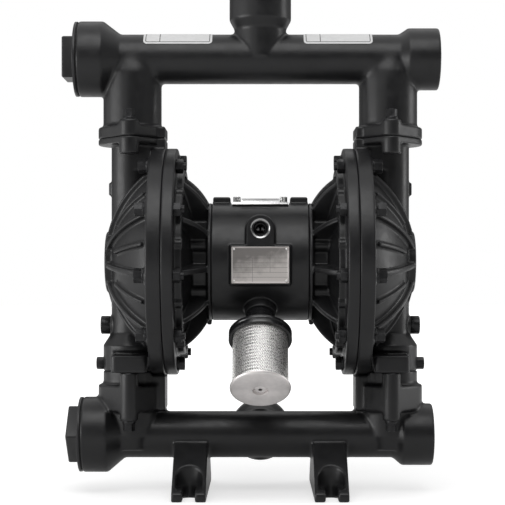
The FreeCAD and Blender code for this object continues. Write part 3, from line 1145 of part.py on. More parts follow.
def valve_spool():
    """Spool with three lands, each grooved for its ring."""
    half = spool_half()
    land_r = SLEEVE_BORE_R - RUNNING_FIT
    spool = fuse([cylinder(SPOOL_STEM_R, 2 * half, Vector(-half, 0, VALVE_Z), X)]
                 + [cylinder(land_r, SPOOL_LAND, Vector(x, 0, VALVE_Z), X) for x in land_starts()])
    return spool.cut([ring(land_r + OVERRUN, land_r - SPOOL_RING_DEPTH, SPOOL_RING,
                           Vector(x + (SPOOL_LAND - SPOOL_RING) / 2, 0, VALVE_Z), X) for x in land_starts()])


def spool_rings():
    """Sealing rings in the spool's grooves."""
    land_r = SLEEVE_BORE_R - RUNNING_FIT
    return group([ring(land_r, land_r - SPOOL_RING_DEPTH, SPOOL_RING,
                       Vector(x + (SPOOL_LAND - SPOOL_RING) / 2, 0, VALVE_Z), X) for x in land_starts()])


def valve_end_caps():
    """Cups that close both ends of the valve bore, flush with the body."""
    cup = cylinder(VALVE_BORE_R, SLEEVE_END, Vector(SLEEVE_HALF, 0, VALVE_Z), X)
    recess = cylinder(VALVE_BORE_R / 2, END_CAP_RECESS + OVERRUN,
                      Vector(BODY_HALF - END_CAP_RECESS, 0, VALVE_Z), X)
    return group(both_sides(cup.cut(recess)))


def pilot_rod():
    """Rod that the inner washers push at each end of the stroke."""
    return cylinder(PILOT_R, 2 * PILOT_HALF, Vector(-PILOT_HALF, PILOT_OFFSET, AXIS_Z), X)


def pilot_bushes():
    """Guides of the pilot rod."""
    return group(both_sides(ring(PILOT_BUSH_R, PILOT_R + RUNNING_FIT, PILOT_BUSH_LENGTH,
                                 Vector(BODY_HALF - PILOT_BUSH_LENGTH, PILOT_OFFSET, AXIS_Z), X)))


def side_plug(pipe_z, reach, spin):
    """Left-hand blanking plug with a square head."""
    face_x = COLUMN_X + reach + PLUG_GASKET
    head = aimed(square(PLUG_SQUARE, PLUG_HEAD + OVERRUN),
                 Vector(face_x + PLUG_FLANGE - OVERRUN, 0, pipe_z), X, spin)
    shank_low = Vector(face_x - PLUG_SHANK, 0, pipe_z)
    plug = fuse([cylinder(BLANK_PORT_R - PLUG_RIM_INSET, PLUG_FLANGE, Vector(face_x, 0, pipe_z), X),
                 cylinder(BLANK_BORE_R - THREAD_FIT, PLUG_SHANK + OVERRUN, shank_low, X), head])
    hollow = cylinder(BLANK_BORE_R - PLUG_WALL, PLUG_SHANK, shank_low - X * OVERRUN, X)
    return sided(plug.cut(hollow), LEFT)


def plug_gaskets():
    """Gaskets under the two blanking plugs."""
    solids = []
    for pipe_z, reach in ((OUTLET_Z, OUTLET_LEFT_REACH), (INLET_AXIS_HEIGHT, INLET_LEFT_REACH)):
        gasket = ring(BLANK_PORT_R - PLUG_GASKET_INSET, BLANK_BORE_R, PLUG_GASKET,
                      Vector(COLUMN_X + reach, 0, pipe_z), X)
        solids.append(sided(gasket, LEFT))
    return group(solids)


def mesh_start():
    """Distance from the chamber axis to the muffler mesh's visible start."""
    return MUFFLER_REACH - MUFFLER_DISC_HEIGHT - MUFFLER_MESH_LENGTH


def muffler_cap():
    """Round black cap of the muffler with its threaded neck."""
    low = mesh_start() - MUFFLER_CAP_HEIGHT
    room_low = mesh_start() - MUFFLER_ROOM
    boss_end = BODY_R + MUFFLER_BOSS_PROUD
    thread_end = boss_end - MUFFLER_THREAD_DEPTH
    cap = fuse([
        cylinder(MUFFLER_THREAD_R - THREAD_FIT, MUFFLER_THREAD_DEPTH + OVERRUN,
                 Vector(0, 0, thread_end + BODY_GAP)),
        cylinder(MUFFLER_NECK_R, low - boss_end + OVERRUN, Vector(0, 0, boss_end)),
        cone(MUFFLER_CAP_R * MUFFLER_CAP_NARROW, MUFFLER_CAP_R, MUFFLER_CAP_CONE, Vector(0, 0, low)),
        cylinder(MUFFLER_CAP_R, MUFFLER_ROOM, Vector(0, 0, room_low))])
    cap = cap.cut([cylinder(MUFFLER_MESH_R, MUFFLER_ROOM + OVERRUN, Vector(0, 0, room_low)),
                   cylinder(EXHAUST_R, room_low - thread_end + OVERRUN, Vector(0, 0, thread_end))])
    half_x = EXHAUST_R + OVERRUN
    half_y = MUFFLER_BRIDGE_WIDTH / 2
    bridge_low = room_low - MUFFLER_BRIDGE
    bridge = block(Vector(-half_x, -half_y, bridge_low), Vector(half_x, half_y, room_low))
    bridge = bridge.cut(cylinder(MUFFLER_ROD_R, MUFFLER_BRIDGE + 2 * OVERRUN,
                                 Vector(0, 0, bridge_low - OVERRUN)))
    return on_muffler(fuse([cap, bridge]))


def muffler_mesh():
    """Perforated tube between the muffler's cap and end disc."""
    length = MUFFLER_MESH_LENGTH + MUFFLER_ROOM
    return on_muffler(ring(MUFFLER_MESH_R, MUFFLER_MESH_R - MUFFLER_MESH_WALL, length,
                           Vector(0, 0, mesh_start() - MUFFLER_ROOM)))


def muffler_end_disc():
    """Pressed end disc with a rolled rim, a shallow centre dimple and the rod's hole."""
    low = MUFFLER_REACH - MUFFLER_DISC_HEIGHT
    high = MUFFLER_REACH
    roll_r = MUFFLER_DISC_R - MUFFLER_DISC_ROLL
    floor_z = high - MUFFLER_DIMPLE_DEPTH
    disc = turned_up((0, low), [
        (roll_r, low), ((MUFFLER_DISC_R, low + MUFFLER_DISC_HEIGHT / 2), (roll_r, high)),
        (roll_r - 2 * MUFFLER_DISC_ROLL, high - MUFFLER_DISC_SINK),
        (MUFFLER_DIMPLE_R + MUFFLER_DISC_ROLL, high - MUFFLER_DISC_SINK / 2),
        (MUFFLER_DIMPLE_R - MUFFLER_DISC_SINK, floor_z), (0, floor_z)])
    return on_muffler(disc.cut(cylinder(MUFFLER_ROD_R, MUFFLER_DISC_HEIGHT + 2 * OVERRUN,
                                        Vector(0, 0, low - OVERRUN))))


def muffler_rod():
    """Tie rod that holds the muffler together."""
    start = mesh_start() - MUFFLER_ROOM - MUFFLER_BRIDGE
    end = MUFFLER_REACH - MUFFLER_DIMPLE_DEPTH - OVERRUN
    return on_muffler(cylinder(MUFFLER_ROD_R, end - start, Vector(0, 0, start)))


def chamber_bolts():
    """Right-hand bolts through both chamber flanges."""
    face_x = FLANGE_OUTER_X + SPOT_BOSS_HEIGHT
    grip = face_x - FLANGE_INNER_X + NUT_HEIGHT + THREAD_BEYOND_NUT
    bolt = washer_bolt(BOLT_FLATS, BOLT_HEAD_HEIGHT, BOLT_WASHER_R, BOLT_WASHER_HEIGHT, BOLT_R, grip)
    return group([aimed(bolt, ring_point(face_x, BOLT_CIRCLE_R, angle), X, angle)
                  for angle in through_angles()])


def chamber_nuts():
    """Right-hand nuts on the through bolts."""
    nut = hexagon(BOLT_FLATS, NUT_HEIGHT).cut(
        cylinder(BOLT_R, NUT_HEIGHT + 2 * OVERRUN, Vector(0, 0, -OVERRUN)))
    return group([aimed(nut, ring_point(FLANGE_INNER_X, BOLT_CIRCLE_R, angle), -X, angle)
                  for angle in through_angles()])


def chamber_screws():
    """Right-hand screws from the air side, where the flow column leaves no room for a head."""
    screw = washer_bolt(BOLT_FLATS, NUT_HEIGHT - BOLT_WASHER_HEIGHT, BOLT_WASHER_R, BOLT_WASHER_HEIGHT,
                        BOLT_R, AIR_FLANGE_THICKNESS + SHORT_SCREW_GRIP)
    return group([aimed(screw, ring_point(FLANGE_INNER_X, BOLT_CIRCLE_R, angle), -X, angle)
                  for angle in blind_angles()])


def joint_bolts(seat_z, shank, axis):
    """Four bolts of the column joints, two on each side."""
    bolt = washer_bolt(JOINT_BOLT_FLATS, JOINT_BOLT_HEAD, JOINT_WASHER_R, JOINT_WASHER_HEIGHT,
                       JOINT_BOLT_R, shank)
    solids = []
    for y in (-JOINT_BOLT_SPACING, JOINT_BOLT_SPACING):
        solids += both_sides(aimed(bolt, Vector(COLUMN_X, y, seat_z), axis))
    return group(solids)


def upper_joint_bolts():
    """Bolts down through the outlet manifold into the fluid caps."""
    shank = UPPER_BOSS_ABOVE + UPPER_BOSS_BELOW - THREAD_RUNOUT - 2 * OVERRUN
    return joint_bolts(UPPER_JOINT_Z + UPPER_BOSS_ABOVE, shank, Z)


def lower_joint_bolts():
    """Long bolts up through the inlet manifold into the fluid caps."""
    shank = LOWER_BOSS_LENGTH + JOINT_BAND_HEIGHT - THREAD_RUNOUT - 2 * OVERRUN
    return joint_bolts(LOWER_JOINT_Z - LOWER_BOSS_LENGTH, shank, -Z)


def drain_plugs():
    """Hex plugs in the lower ball cages."""
    plug = fuse([hexagon(DRAIN_FLATS, DRAIN_HEAD),
                 cylinder(DRAIN_SHANK_R, drain_face_x() - COLUMN_X - CAGE_BORE_R, ORIGIN, -Z)])
    return group(both_sides(aimed(plug, Vector(drain_face_x(), 0, LOWER_JOINT_Z + DRAIN_RISE), X)))


def purge_plugs():
    """Round plugs in the flow columns above the lower ball cages."""
    seat_r = DUCT_R + PURGE_BOSS_PROUD
    head = cylinder(PURGE_R, PURGE_HEAD, ORIGIN)
    plug = fuse([head.makeFillet(EDGE_FILLET, edges_at(head, Z, PURGE_HEAD, PURGE_R)),
                 cylinder(PURGE_SHANK_R, seat_r - DUCT_BORE_R, ORIGIN, -Z)])
    return group(both_sides(aimed(plug, Vector(COLUMN_X + seat_r, 0, LOWER_JOINT_Z + PURGE_RISE), X)))


nodes = {
    "outlet_manifold": outlet_manifold(),
    "inlet_manifold": inlet_manifold(),
    "blank_labels": labels(),
    "centre_body": centre_body(),
    "valve_cover": valve_cover(),
    "valve_cover_gasket": valve_cover_gasket(),
    "valve_cover_screws": valve_cover_screws(),
    "nameplate": nameplate(),
    "nameplate_rivets": nameplate_rivets(),
    "air_cap_screws": air_cap_screws(),
    "air_cap_seals": air_cap_seals(),
    "connecting_shaft": connecting_shaft(),
    "shaft_bushings": shaft_bushings(),
    "shaft_seals": shaft_seals(),
    "seat_rings": seat_rings(),
    "valve_sleeve": valve_sleeve(),
    "valve_spool": valve_spool(),
    "spool_rings": spool_rings(),
    "valve_end_caps": valve_end_caps(),
    "pilot_rod": pilot_rod(),
    "pilot_bushes": pilot_bushes(),
    "outlet_side_plug": side_plug(OUTLET_Z, OUTLET_LEFT_REACH, 0.0),
    "inlet_side_plug": side_plug(INLET_AXIS_HEIGHT, INLET_LEFT_REACH, 45.0),
    "plug_gaskets": plug_gaskets(),
    "muffler_cap": muffler_cap(),
    "muffler_mesh": muffler_mesh(),
    "muffler_end_disc": muffler_end_disc(),
    "muffler_rod": muffler_rod(),
    "upper_joint_bolts": upper_joint_bolts(),
    "lower_joint_bolts": lower_joint_bolts(),
    "drain_plugs": drain_plugs(),
    "purge_plugs": purge_plugs(),
}
right_hand = {
    "fluid_cap": fluid_cap(),
    "air_cap": air_cap(),
    "diaphragm": diaphragm(),
    "outer_plate": outer_plate(),
    "inner_washer": inner_washer(),
    "chamber_bolts": chamber_bolts(),
    "chamber_nuts": chamber_nuts(),
    "chamber_screws": chamber_screws(),
    "upper_ball": check_ball(UPPER_BALL_Z),
    "lower_ball": check_ball(LOWER_BALL_Z),
    "upper_seat": ball_seat(UPPER_SEAT_TOP, UPPER_BALL_Z),
    "lower_seat": ball_seat(LOWER_SEAT_TOP, LOWER_BALL_Z),
}
for side_name, side in SIDES:
    for name, shape in right_hand.items():
        nodes[side_name + "_" + name] = sided(shape, side)

os.makedirs("parts", exist_ok=True)
for name, shape in nodes.items():
    shape.exportStep("parts/" + name + ".step")
    print(f"{name:26s} solids {len(shape.Solids):3d}  volume {shape.Volume / 1000:9.1f} cm3  "
          f"valid {shape.isValid()}")
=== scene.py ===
"""Air-operated double diaphragm pump, dressed in its cast, machined and printed surfaces.

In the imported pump's own frame the floor is at z = 0, +X runs along the chamber axis to the right,
and the front, with the air inlet and the nameplate, faces -Y. The classes of the pump's parts hold
their sizes in millimetres, and the studio's classes in metres.
"""
import json
import logging
import math
from dataclasses import dataclass
from enum import Enum
from typing import Iterable, Sequence

import bmesh
import bpy
from bmesh.types import BMEdge, BMesh, BMFace
from bpy.types import Material, Mesh, Node, NodeSocket, NodeTree, Object
from mathutils import Matrix, Vector


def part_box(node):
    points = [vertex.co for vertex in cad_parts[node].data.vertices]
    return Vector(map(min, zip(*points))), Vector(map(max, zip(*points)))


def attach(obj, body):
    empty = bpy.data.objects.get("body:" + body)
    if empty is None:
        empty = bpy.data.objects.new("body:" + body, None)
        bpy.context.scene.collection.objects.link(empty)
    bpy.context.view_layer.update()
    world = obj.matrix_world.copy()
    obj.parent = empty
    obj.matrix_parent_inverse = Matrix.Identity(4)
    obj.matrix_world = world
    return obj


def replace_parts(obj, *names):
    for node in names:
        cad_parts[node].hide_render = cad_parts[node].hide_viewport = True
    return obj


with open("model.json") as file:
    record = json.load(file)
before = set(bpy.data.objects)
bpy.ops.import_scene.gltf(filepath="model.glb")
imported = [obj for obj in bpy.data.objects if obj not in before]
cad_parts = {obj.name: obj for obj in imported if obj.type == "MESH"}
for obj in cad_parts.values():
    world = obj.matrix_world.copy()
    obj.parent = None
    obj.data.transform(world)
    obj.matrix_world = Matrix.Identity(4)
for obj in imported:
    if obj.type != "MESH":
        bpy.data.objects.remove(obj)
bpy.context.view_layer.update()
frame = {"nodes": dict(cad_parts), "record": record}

Triple = tuple[float, float, float]
Outline = tuple[tuple[float, float], ...]

LOG = logging.getLogger("pump")
MM = 0.001
CLOSE = 0.001 * MM
WELD = 0.002 * MM
ALL_SMOOTH = 180.0
ORIGIN, X, Y, Z = Vector((0, 0, 0)), Vector((1, 0, 0)), Vector((0, 1, 0)), Vector((0, 0, 1))
SLOT_OF = {part["node"]: part["material_slot"] for part in frame["record"]["subparts"]}
BODY_OF = {node: body for body, nodes in frame["record"]["behaviour"]["bodies"].items()
           for node in nodes}


class Slot(Enum):
    """Material slots of the record that new pieces take their finish from."""

    COATING = "black_coating"
    FASTENER = "dark_fasteners"
    PLATED = "plated_screws"
    COVER = "bright_cover"
    PLATE = "nameplate_metal"
    RIVET = "rivet_metal"
    PLASTIC = "muffler_plastic"
    MESH = "muffler_mesh"
    DISC = "muffler_disc"
    FILM = "label_film"
    GASKET = "gasket_rubber"
    DIAPHRAGM = "diaphragm_rubber"
    BALL = "ball_rubber"
    ALUMINIUM = "machined_aluminium"
    STEEL = "ground_steel"
    BRONZE = "bronze"


class Mixture(Enum):
    """What a Mix node mixes: its data type, its first input of that type and its output."""

    NUMBER = ("FLOAT", 2, 0)
    COLOUR = ("RGBA", 6, 2)


class Nodes:
    """A node tree, and short ways to add to it."""

    def __init__(self, tree: NodeTree) -> None:
        """Takes hold of a tree."""
        self.tree = tree

    def first(self, kind: str) -> Node:
        """The tree's first node of a type."""
        return next(node for node in self.tree.nodes if node.type == kind)

    def put(self, value: object, socket: NodeSocket) -> None:
        """Links an output to a socket, or sets a constant on it.

        Args:
            value: The output or the constant.
            socket: The socket.
        """
        if isinstance(value, NodeSocket):
            self.tree.links.new(value, socket)
        else:
            socket.default_value = value

    def add(self, kind: str, options: dict[str, object] | None = None, **inputs: object) -> Node:
        """Adds a node.

        Args:
            kind: The node's type, without its ShaderNode prefix.
            options: Properties of the node itself.
            **inputs: A constant or an output for each named socket, with underscores for spaces.

        Returns:
            The new node.
        """
        node = self.tree.nodes.new("ShaderNode" + kind)
        for option, value in (options or {}).items():
            setattr(node, option, value)
        for socket, value in inputs.items():
            self.put(value, node.inputs[socket.replace("_", " ")])
        return node

    def math(self, operation: str, *terms: object, kind: str = "Math") -> NodeSocket:
        """Works out a number.

        Args:
            operation: The operation's name.
            *terms: Outputs or constants, in the order of the node's sockets.
            kind: Math for numbers, or VectorMath for vectors.

        Returns:
            The result.
        """
        node = self.add(kind, {"operation": operation})
        for term, socket in zip(terms, node.inputs):
            self.put(term, socket)
        return node.outputs["Value"]

    def mix(self, mixture: Mixture, share: NodeSocket, first: object, second: object) -> NodeSocket:
        """Mixes two numbers or colours.

        Args:
            mixture: What is mixed.
            share: Share of the second.
            first: Output or constant at a share of 0.
            second: Output or constant at a share of 1.

        Returns:
            The mixture.
        """
        data_type, start, output = mixture.value
        node = self.add("Mix", {"data_type": data_type})
        for index, value in ((0, share), (start, first), (start + 1, second)):
            self.put(value, node.inputs[index])
        return node.outputs[output]

    def spread(self, value: NodeSocket, low: float, high: float, start: float = 0.3,
               end: float = 0.7, smooth: bool = False) -> NodeSocket:
        """Maps a value from one range to another.

        Args:
            value: The value to map.
            low: Result at the start of the range.
            high: Result at its end.
            start: Where the range starts.
            end: Where it ends.
            smooth: Whether the result eases in and out.

        Returns:
            The mapped value.
        """
        easing = {"interpolation_type": "SMOOTHSTEP" if smooth else "LINEAR"}
        node = self.add("MapRange", easing, Value=value, From_Min=start, From_Max=end, To_Min=low,
                        To_Max=high)
        return node.outputs["Result"]


class Graph(Nodes):
    """Node tree of one material, with its main shader."""

    def __init__(self, name: str, **values: object) -> None:
        """Starts a material.

        Args:
            name: The finish's name.
            **values: Constants for the main shader's own sockets, with underscores for spaces.
        """
        self.material = bpy.data.materials.new(name + "_finish")
        self.material.use_nodes = True
        super().__init__(self.material.node_tree)
        self.shader = self.first("BSDF_PRINCIPLED")
        self.place = self.add("TexCoord").outputs["Object"]
        for socket, value in values.items():
            self.shader.inputs[socket.replace("_", " ")].default_value = value

    def feed(self, socket: str, output: NodeSocket) -> None:
        """Links an output to a socket of the main shader."""
        self.tree.links.new(output, self.shader.inputs[socket])

    def mapped(self, scale: Sequence[float] = (1, 1, 1),
               shift: Sequence[float] = (0, 0, 0)) -> NodeSocket:
        """Object coordinates, stretched along each axis and then shifted."""
        return self.add("Mapping", Vector=self.place, Scale=scale, Location=shift).outputs["Vector"]

    def noise(self, scale: float, detail: float = 2.0, roughness: float = 0.5,
              place: NodeSocket | None = None) -> NodeSocket:
        """Grey noise over the object's coordinates.

        Args:
            scale: Cells per metre.
            detail: Number of finer layers.
            roughness: Share of the finer layers.
            place: Other coordinates to use.

        Returns:
            The noise value.
        """
        node = self.add("TexNoise", Vector=place or self.place, Scale=scale, Detail=detail,
                        Roughness=roughness)
        return node.outputs["Fac"]

    def tint(self, value: NodeSocket, dark: Sequence[float], light: Sequence[float],
             start: float = 0.3, end: float = 0.7) -> NodeSocket:
        """Chooses a colour between two.

        Args:
            value: The value that chooses.
            dark: Colour at the start of the range.
            light: Colour at its end.
            start: Where the range starts.
            end: Where it ends.

        Returns:
            The colour.
        """
        ramp = self.add("ValToRGB", Fac=value)
        first, last = ramp.color_ramp.elements
        first.position, last.position = start, end
        first.color, last.color = (*dark, 1), (*light, 1)
        return ramp.outputs["Color"]

    def bump(self, height: NodeSocket, distance: float, strength: float,
             under: NodeSocket | None = None) -> NodeSocket:
        """Bends the normal.

        Args:
            height: The relief's value.
            distance: Height of a full step in metres.
            strength: Share of it that shows.
            under: Normal bent by a wider relief.

        Returns:
            The bent normal.
        """
        node = self.add("Bump", Height=height, Distance=distance, Strength=strength)
        if under is not None:
            self.put(under, node.inputs["Normal"])
        return node.outputs["Normal"]


@dataclass(frozen=True)
class Layer:
    """Noise in cells per metre, and what it gives at its dark and at its light end."""

    scale: float
    detail: float
    low: float
    high: float


@dataclass(frozen=True)
class Relief:
    """Noise that bends the normal: cells per metre, height in millimetres and share that shows."""

    scale: float
    height: float
    strength: float


@dataclass(frozen=True)
class Finish:
    """A surface finish, whose mottle shades its colour and whose haze is added to its roughness."""

    name: str
    slot: Slot
    colour: Triple
    roughness: float
    metallic: float = 0.0
    specular: float = 0.5
    mottle: Layer = Layer(120.0, 3.0, 0.8, 1.25)
    haze: Layer = Layer(300.0, 3.0, -0.08, 0.06)
    reliefs: tuple[Relief, ...] = (Relief(1800.0, 0.04, 0.5),)

    def material(self) -> Material:
        """The finish's material, made once."""
        return bpy.data.materials.get(self.name + "_finish") or self.draw()

    def shade(self, share: float) -> Triple:
        """The finish's colour, lighter or darker by a factor."""
        return tuple(min(1.0, c * share) for c in self.colour)

    def tone(self, g: Graph, value: NodeSocket) -> NodeSocket:
        """The base colour, shaded by the mottle's noise."""
        return g.tint(value, self.shade(self.mottle.low), self.shade(self.mottle.high))

    def dull(self, g: Graph, value: NodeSocket) -> NodeSocket:
        """The roughness, varied by the haze's noise."""
        return g.spread(value, self.roughness + self.haze.low, self.roughness + self.haze.high)

    def draw(self) -> Material:
        """Draws the node tree.

        Returns:
            The new material.
        """
        g = Graph(self.name, Metallic=self.metallic, Specular_IOR_Level=self.specular)
        g.feed("Base Color", self.tone(g, g.noise(self.mottle.scale, self.mottle.detail)))
        g.feed("Roughness", self.dull(g, g.noise(self.haze.scale, self.haze.detail)))
        normal: NodeSocket | None = None
        for relief in self.reliefs:
            normal = g.bump(g.noise(relief.scale), relief.height * MM, relief.strength, normal)
        g.feed("Normal", normal)
        return g.material


@dataclass(frozen=True)
class PowderCoat(Finish):
    """Satin powder coat over a casting, with a fine peel and a painted highlight that pales its
    outer edges.
    """

    specular: float = 0.33
    mottle: Layer = Layer(28.0, 3.0, 0.85, 1.15)
    haze: Layer = Layer(90.0, 4.0, -0.05, 0.07)
    reliefs: tuple[Relief, ...] = (Relief(70.0, 0.5, 0.25), Relief(1500.0, 0.06, 0.55))
    # Painted highlight on the outer edges: its shade factor, its share and its range of pointiness.
    painted_glint_shade: float = 4.5
    painted_glint_share: float = 0.7
    painted_glint_range: tuple[float, float] = (0.52, 0.58)

    def tone(self, g: Graph, value: NodeSocket) -> NodeSocket:
        """Pales the coat's colour on its outer edges, a painted highlight for the light that glints
        on them.

        Args:
            g: The graph to add to.
            value: The mottle's noise.

        Returns:
            The base colour.
        """
        # Painted highlight: pointed edges take a paler shade of the coat, standing in for the glint
        # of light on them.
        pointed = g.add("NewGeometry").outputs["Pointiness"]
        edge = g.spread(pointed, 0.0, self.painted_glint_share, *self.painted_glint_range)
        return g.mix(Mixture.COLOUR, edge, super().tone(g, value),
                     (*self.shade(self.painted_glint_shade), 1))


@dataclass(frozen=True)
class Oxide(Finish):
    """Dark steel of the fasteners, with the turning and handling marks of its heads."""

    metallic: float = 0.4
    specular: float = 0.4
    mottle: Layer = Layer(220.0, 4.0, 0.7, 1.5)
    haze: Layer = Layer(600.0, 3.0, -0.08, 0.12)
    reliefs: tuple[Relief, ...] = (Relief(2600.0, 0.03, 0.5),)


@dataclass(frozen=True)
class Rubber(Finish):
    """Moulded rubber or plastic, slightly mottled."""

    specular: float = 0.35


@dataclass(frozen=True)
class Film(Finish):
    """Printed or plain film of a label."""

    specular: float = 0.4
    mottle: Layer = Layer(160.0, 2.0, 0.94, 1.0)
    haze: Layer = Layer(240.0, 2.0, -0.05, 0.05)
    reliefs: tuple[Relief, ...] = (Relief(420.0, 0.02, 0.3),)


@dataclass(frozen=True)
class BareMetal(Finish):
    """Bright metal with fine marks, which are long along the axis where the grain is small."""

    metallic: float = 1.0
    mottle: Layer = Layer(3.0, 3.0, 0.82, 1.08)
    haze: Layer = Layer(3.0, 3.0, -0.06, 0.1)
    grain: Triple = (20.0, 900.0, 900.0)
    fineness: float = 0.6
    marks: float = 0.5
    mark_height: float = 0.02

    def draw(self) -> Material:
        """Draws the metal, whose marks shade, dull and bend it together.

        Returns:
            The new material.
        """
        g = Graph(self.name, Metallic=self.metallic, Specular_IOR_Level=self.specular)
        marks = g.noise(self.mottle.scale, self.mottle.detail, self.fineness, g.mapped(self.grain))
        g.feed("Base Color", self.tone(g, marks))
        g.feed("Roughness", self.dull(g, marks))
        g.feed("Normal", g.bump(marks, self.mark_height * MM, self.marks))
        return g.material


@dataclass(frozen=True)
class ShadedBlotchedPlate(BareMetal):
    """Brushed plate with a painted shade that darkens it towards its upper left, blotched by
    handling.

    The centre is in metres, and the painted shade's slope is the shade's change for each metre from
    it.
    """

    centre: Triple = (0.0, 0.0, 0.293)
    # Painted shade: the colour's slope for each metre, darker towards the upper left.
    painted_shade_slope: Triple = (9.0, 0.0, -30.0)
    blotch: Layer = Layer(95.0, 4.0, 0.45, 1.2)
    mark_share: float = 0.3
    fade_range: tuple[float, float] = (0.25, 1.0)

    def tone(self, g: Graph, value: NodeSocket) -> NodeSocket:
        """Shades the plate's colour by its place, which is painted shade, and by its blotches and
        its marks.

        Args:
            g: The graph to add to.
            value: The marks' noise.

        Returns:
            The base colour.
        """
        from_centre = g.mapped(shift=[-place for place in self.centre])
        # Painted shade: the colour darkens in a straight slope towards the upper left; the blotches
        # are handling.
        slope = g.math("DOT_PRODUCT", from_centre, self.painted_shade_slope, kind="VectorMath")
        shade_and_blotch = g.math("ADD", slope, g.noise(self.blotch.scale, self.blotch.detail, self.fineness))
        total = g.math("MULTIPLY_ADD", value, self.mark_share, shade_and_blotch)
        return g.tint(total, self.shade(self.blotch.low), self.shade(self.blotch.high),
                      *self.fade_range)


EVEN_GRAIN = (300.0, 300.0, 300.0)
TURNED_GRAIN = (800.0, 30.0, 30.0)
COATING = PowderCoat("black_powder_coat", Slot.COATING, (0.0125, 0.0125, 0.0132), 0.33)
OXIDE = Oxide("dark_fastener_steel", Slot.FASTENER, (0.014, 0.014, 0.015), 0.34)
# Painted shade: the rod's end takes near-black steel, not its plated finish, standing in for the
# shade in the disc's hole.
ROD_HOLE_SHADE = Oxide("muffler_rod_hole_shade", Slot.PLATED, (0.014, 0.014, 0.015), 0.34)
PLATED = BareMetal("plated_screw_steel", Slot.PLATED, (0.78, 0.78, 0.77), 0.22,
                   grain=(60.0, 60.0, 900.0))
COVER = BareMetal("bright_cover_metal", Slot.COVER, (0.96, 0.96, 0.96), 0.26, marks=0.2)
PLATE = ShadedBlotchedPlate("nameplate_metal", Slot.PLATE, (0.50, 0.47, 0.45), 0.42, metallic=0.5,
                  grain=(25.0, 700.0, 700.0))
PLATE_RIM = BareMetal("nameplate_rim_metal", Slot.PLATE, (0.66, 0.62, 0.60), 0.34)
PLATE_PRINT = Film("nameplate_print", Slot.PLATE, (0.16, 0.15, 0.15), 0.5)
RIVET = BareMetal("rivet_metal", Slot.RIVET, (0.92, 0.91, 0.89), 0.3, metallic=0.6)
PLASTIC = Rubber("muffler_cap_plastic", Slot.PLASTIC, (0.010, 0.010, 0.011), 0.22, specular=0.6,
                 reliefs=(Relief(1800.0, 0.01, 0.5),))
MESH = BareMetal("muffler_mesh_metal", Slot.MESH, (0.62, 0.61, 0.60), 0.26, grain=EVEN_GRAIN)
# Painted shade: the backing tube is darker than the wires, standing in for the shade seen through
# the gaps of the weave.
SHADE_BACKING = BareMetal("muffler_shade_backing", Slot.MESH, (0.36, 0.36, 0.35), 0.4, metallic=0.9)
DISC = BareMetal("muffler_disc_metal", Slot.DISC, (0.77, 0.735, 0.725), 0.36, metallic=0.7,
                 grain=(14.0, 14.0, 14.0), marks=0.15)
FILM = Film("label_film", Slot.FILM, (0.70, 0.70, 0.70), 0.5)
FILM_PRINT = Film("label_line", Slot.FILM, (0.06, 0.06, 0.06), 0.5)
GASKET = Rubber("gasket_rubber", Slot.GASKET, (0.010, 0.010, 0.010), 0.6)
DIAPHRAGM = Rubber("diaphragm_rubber", Slot.DIAPHRAGM, (0.018, 0.018, 0.018), 0.62)
BALL = Rubber("ball_rubber", Slot.BALL, (0.030, 0.030, 0.030), 0.5)
ALUMINIUM = BareMetal("machined_aluminium", Slot.ALUMINIUM, (0.74, 0.74, 0.75), 0.3,
                      grain=(300.0, 20.0, 300.0))
CUT_THREAD = BareMetal("cut_thread", Slot.COATING, (0.34, 0.34, 0.34), 0.16, grain=EVEN_GRAIN)
STEEL = BareMetal("ground_steel", Slot.STEEL, (0.62, 0.62, 0.63), 0.2, grain=TURNED_GRAIN)
BRONZE = BareMetal("bearing_bronze", Slot.BRONZE, (0.60, 0.42, 0.22), 0.34, grain=TURNED_GRAIN)
FINISH_OF_SLOT = {finish.slot.value: finish for finish in (
    COATING, OXIDE, PLATED, COVER, PLATE, RIVET, PLASTIC, MESH, DISC, FILM, GASKET, DIAPHRAGM, BALL,
    ALUMINIUM, STEEL, BRONZE)}


def new_piece(name: str, what: str, shape: BMesh, finishes: Sequence[Finish], body: str,
              sharp: float) -> Object:
    """Turns a finished bmesh into a piece that rides on a body, and reports it.

    Args:
        name: The piece's name.
        what: Plain words for the report.
        shape: The mesh, in the pump's frame; it is freed.
        finishes: Finishes in the order of the faces' material indices.
        body: The body that carries the piece.
        sharp: Edges that turn by more than this many degrees stay sharp.

    Returns:
        The new object.
    """
    limit = math.radians(sharp)
    for face in shape.faces:
        face.smooth = True
    for edge in shape.edges:
        edge.smooth = len(edge.link_faces) == 2 and edge.calc_face_angle(0.0) < limit
    mesh = bpy.data.meshes.new(name)
    shape.to_mesh(mesh)
    shape.free()
    piece = bpy.data.objects.new(name, mesh)
    bpy.context.scene.collection.objects.link(piece)
    for finish in finishes:
        mesh.materials.append(finish.material())
    LOG.info("%s: %s, %d faces", name, what, len(mesh.polygons))
    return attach(piece, body)


def stand_in(node: str, name: str, what: str, shape: BMesh, finishes: Sequence[Finish],
             sharp: float = ALL_SMOOTH) -> Object:
    """Makes a piece that rides on a CAD node's body and replaces the node.

    Args:
        node: The node's name.
        name: The piece's name.
        what: Plain words for the report.
        shape: The mesh, in the pump's frame; it is freed.
        finishes: Finishes in the order of the faces' material indices.
        sharp: Edges that turn by more than this many degrees stay sharp.

    Returns:
        The new object.
    """
    piece = new_piece(name, what, shape, finishes, BODY_OF[node], sharp)
    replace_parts(piece, node)
    return piece


def merged_copy(node: str) -> BMesh:
    """Copies a CAD node's mesh and joins its loose triangles.

    Args:
        node: The node's name.

    Returns:
        The merged mesh.
    """
    shape = bmesh.new()
    shape.from_mesh(frame["nodes"][node].data)
    bmesh.ops.remove_doubles(shape, verts=shape.verts, dist=WELD)
    return shape


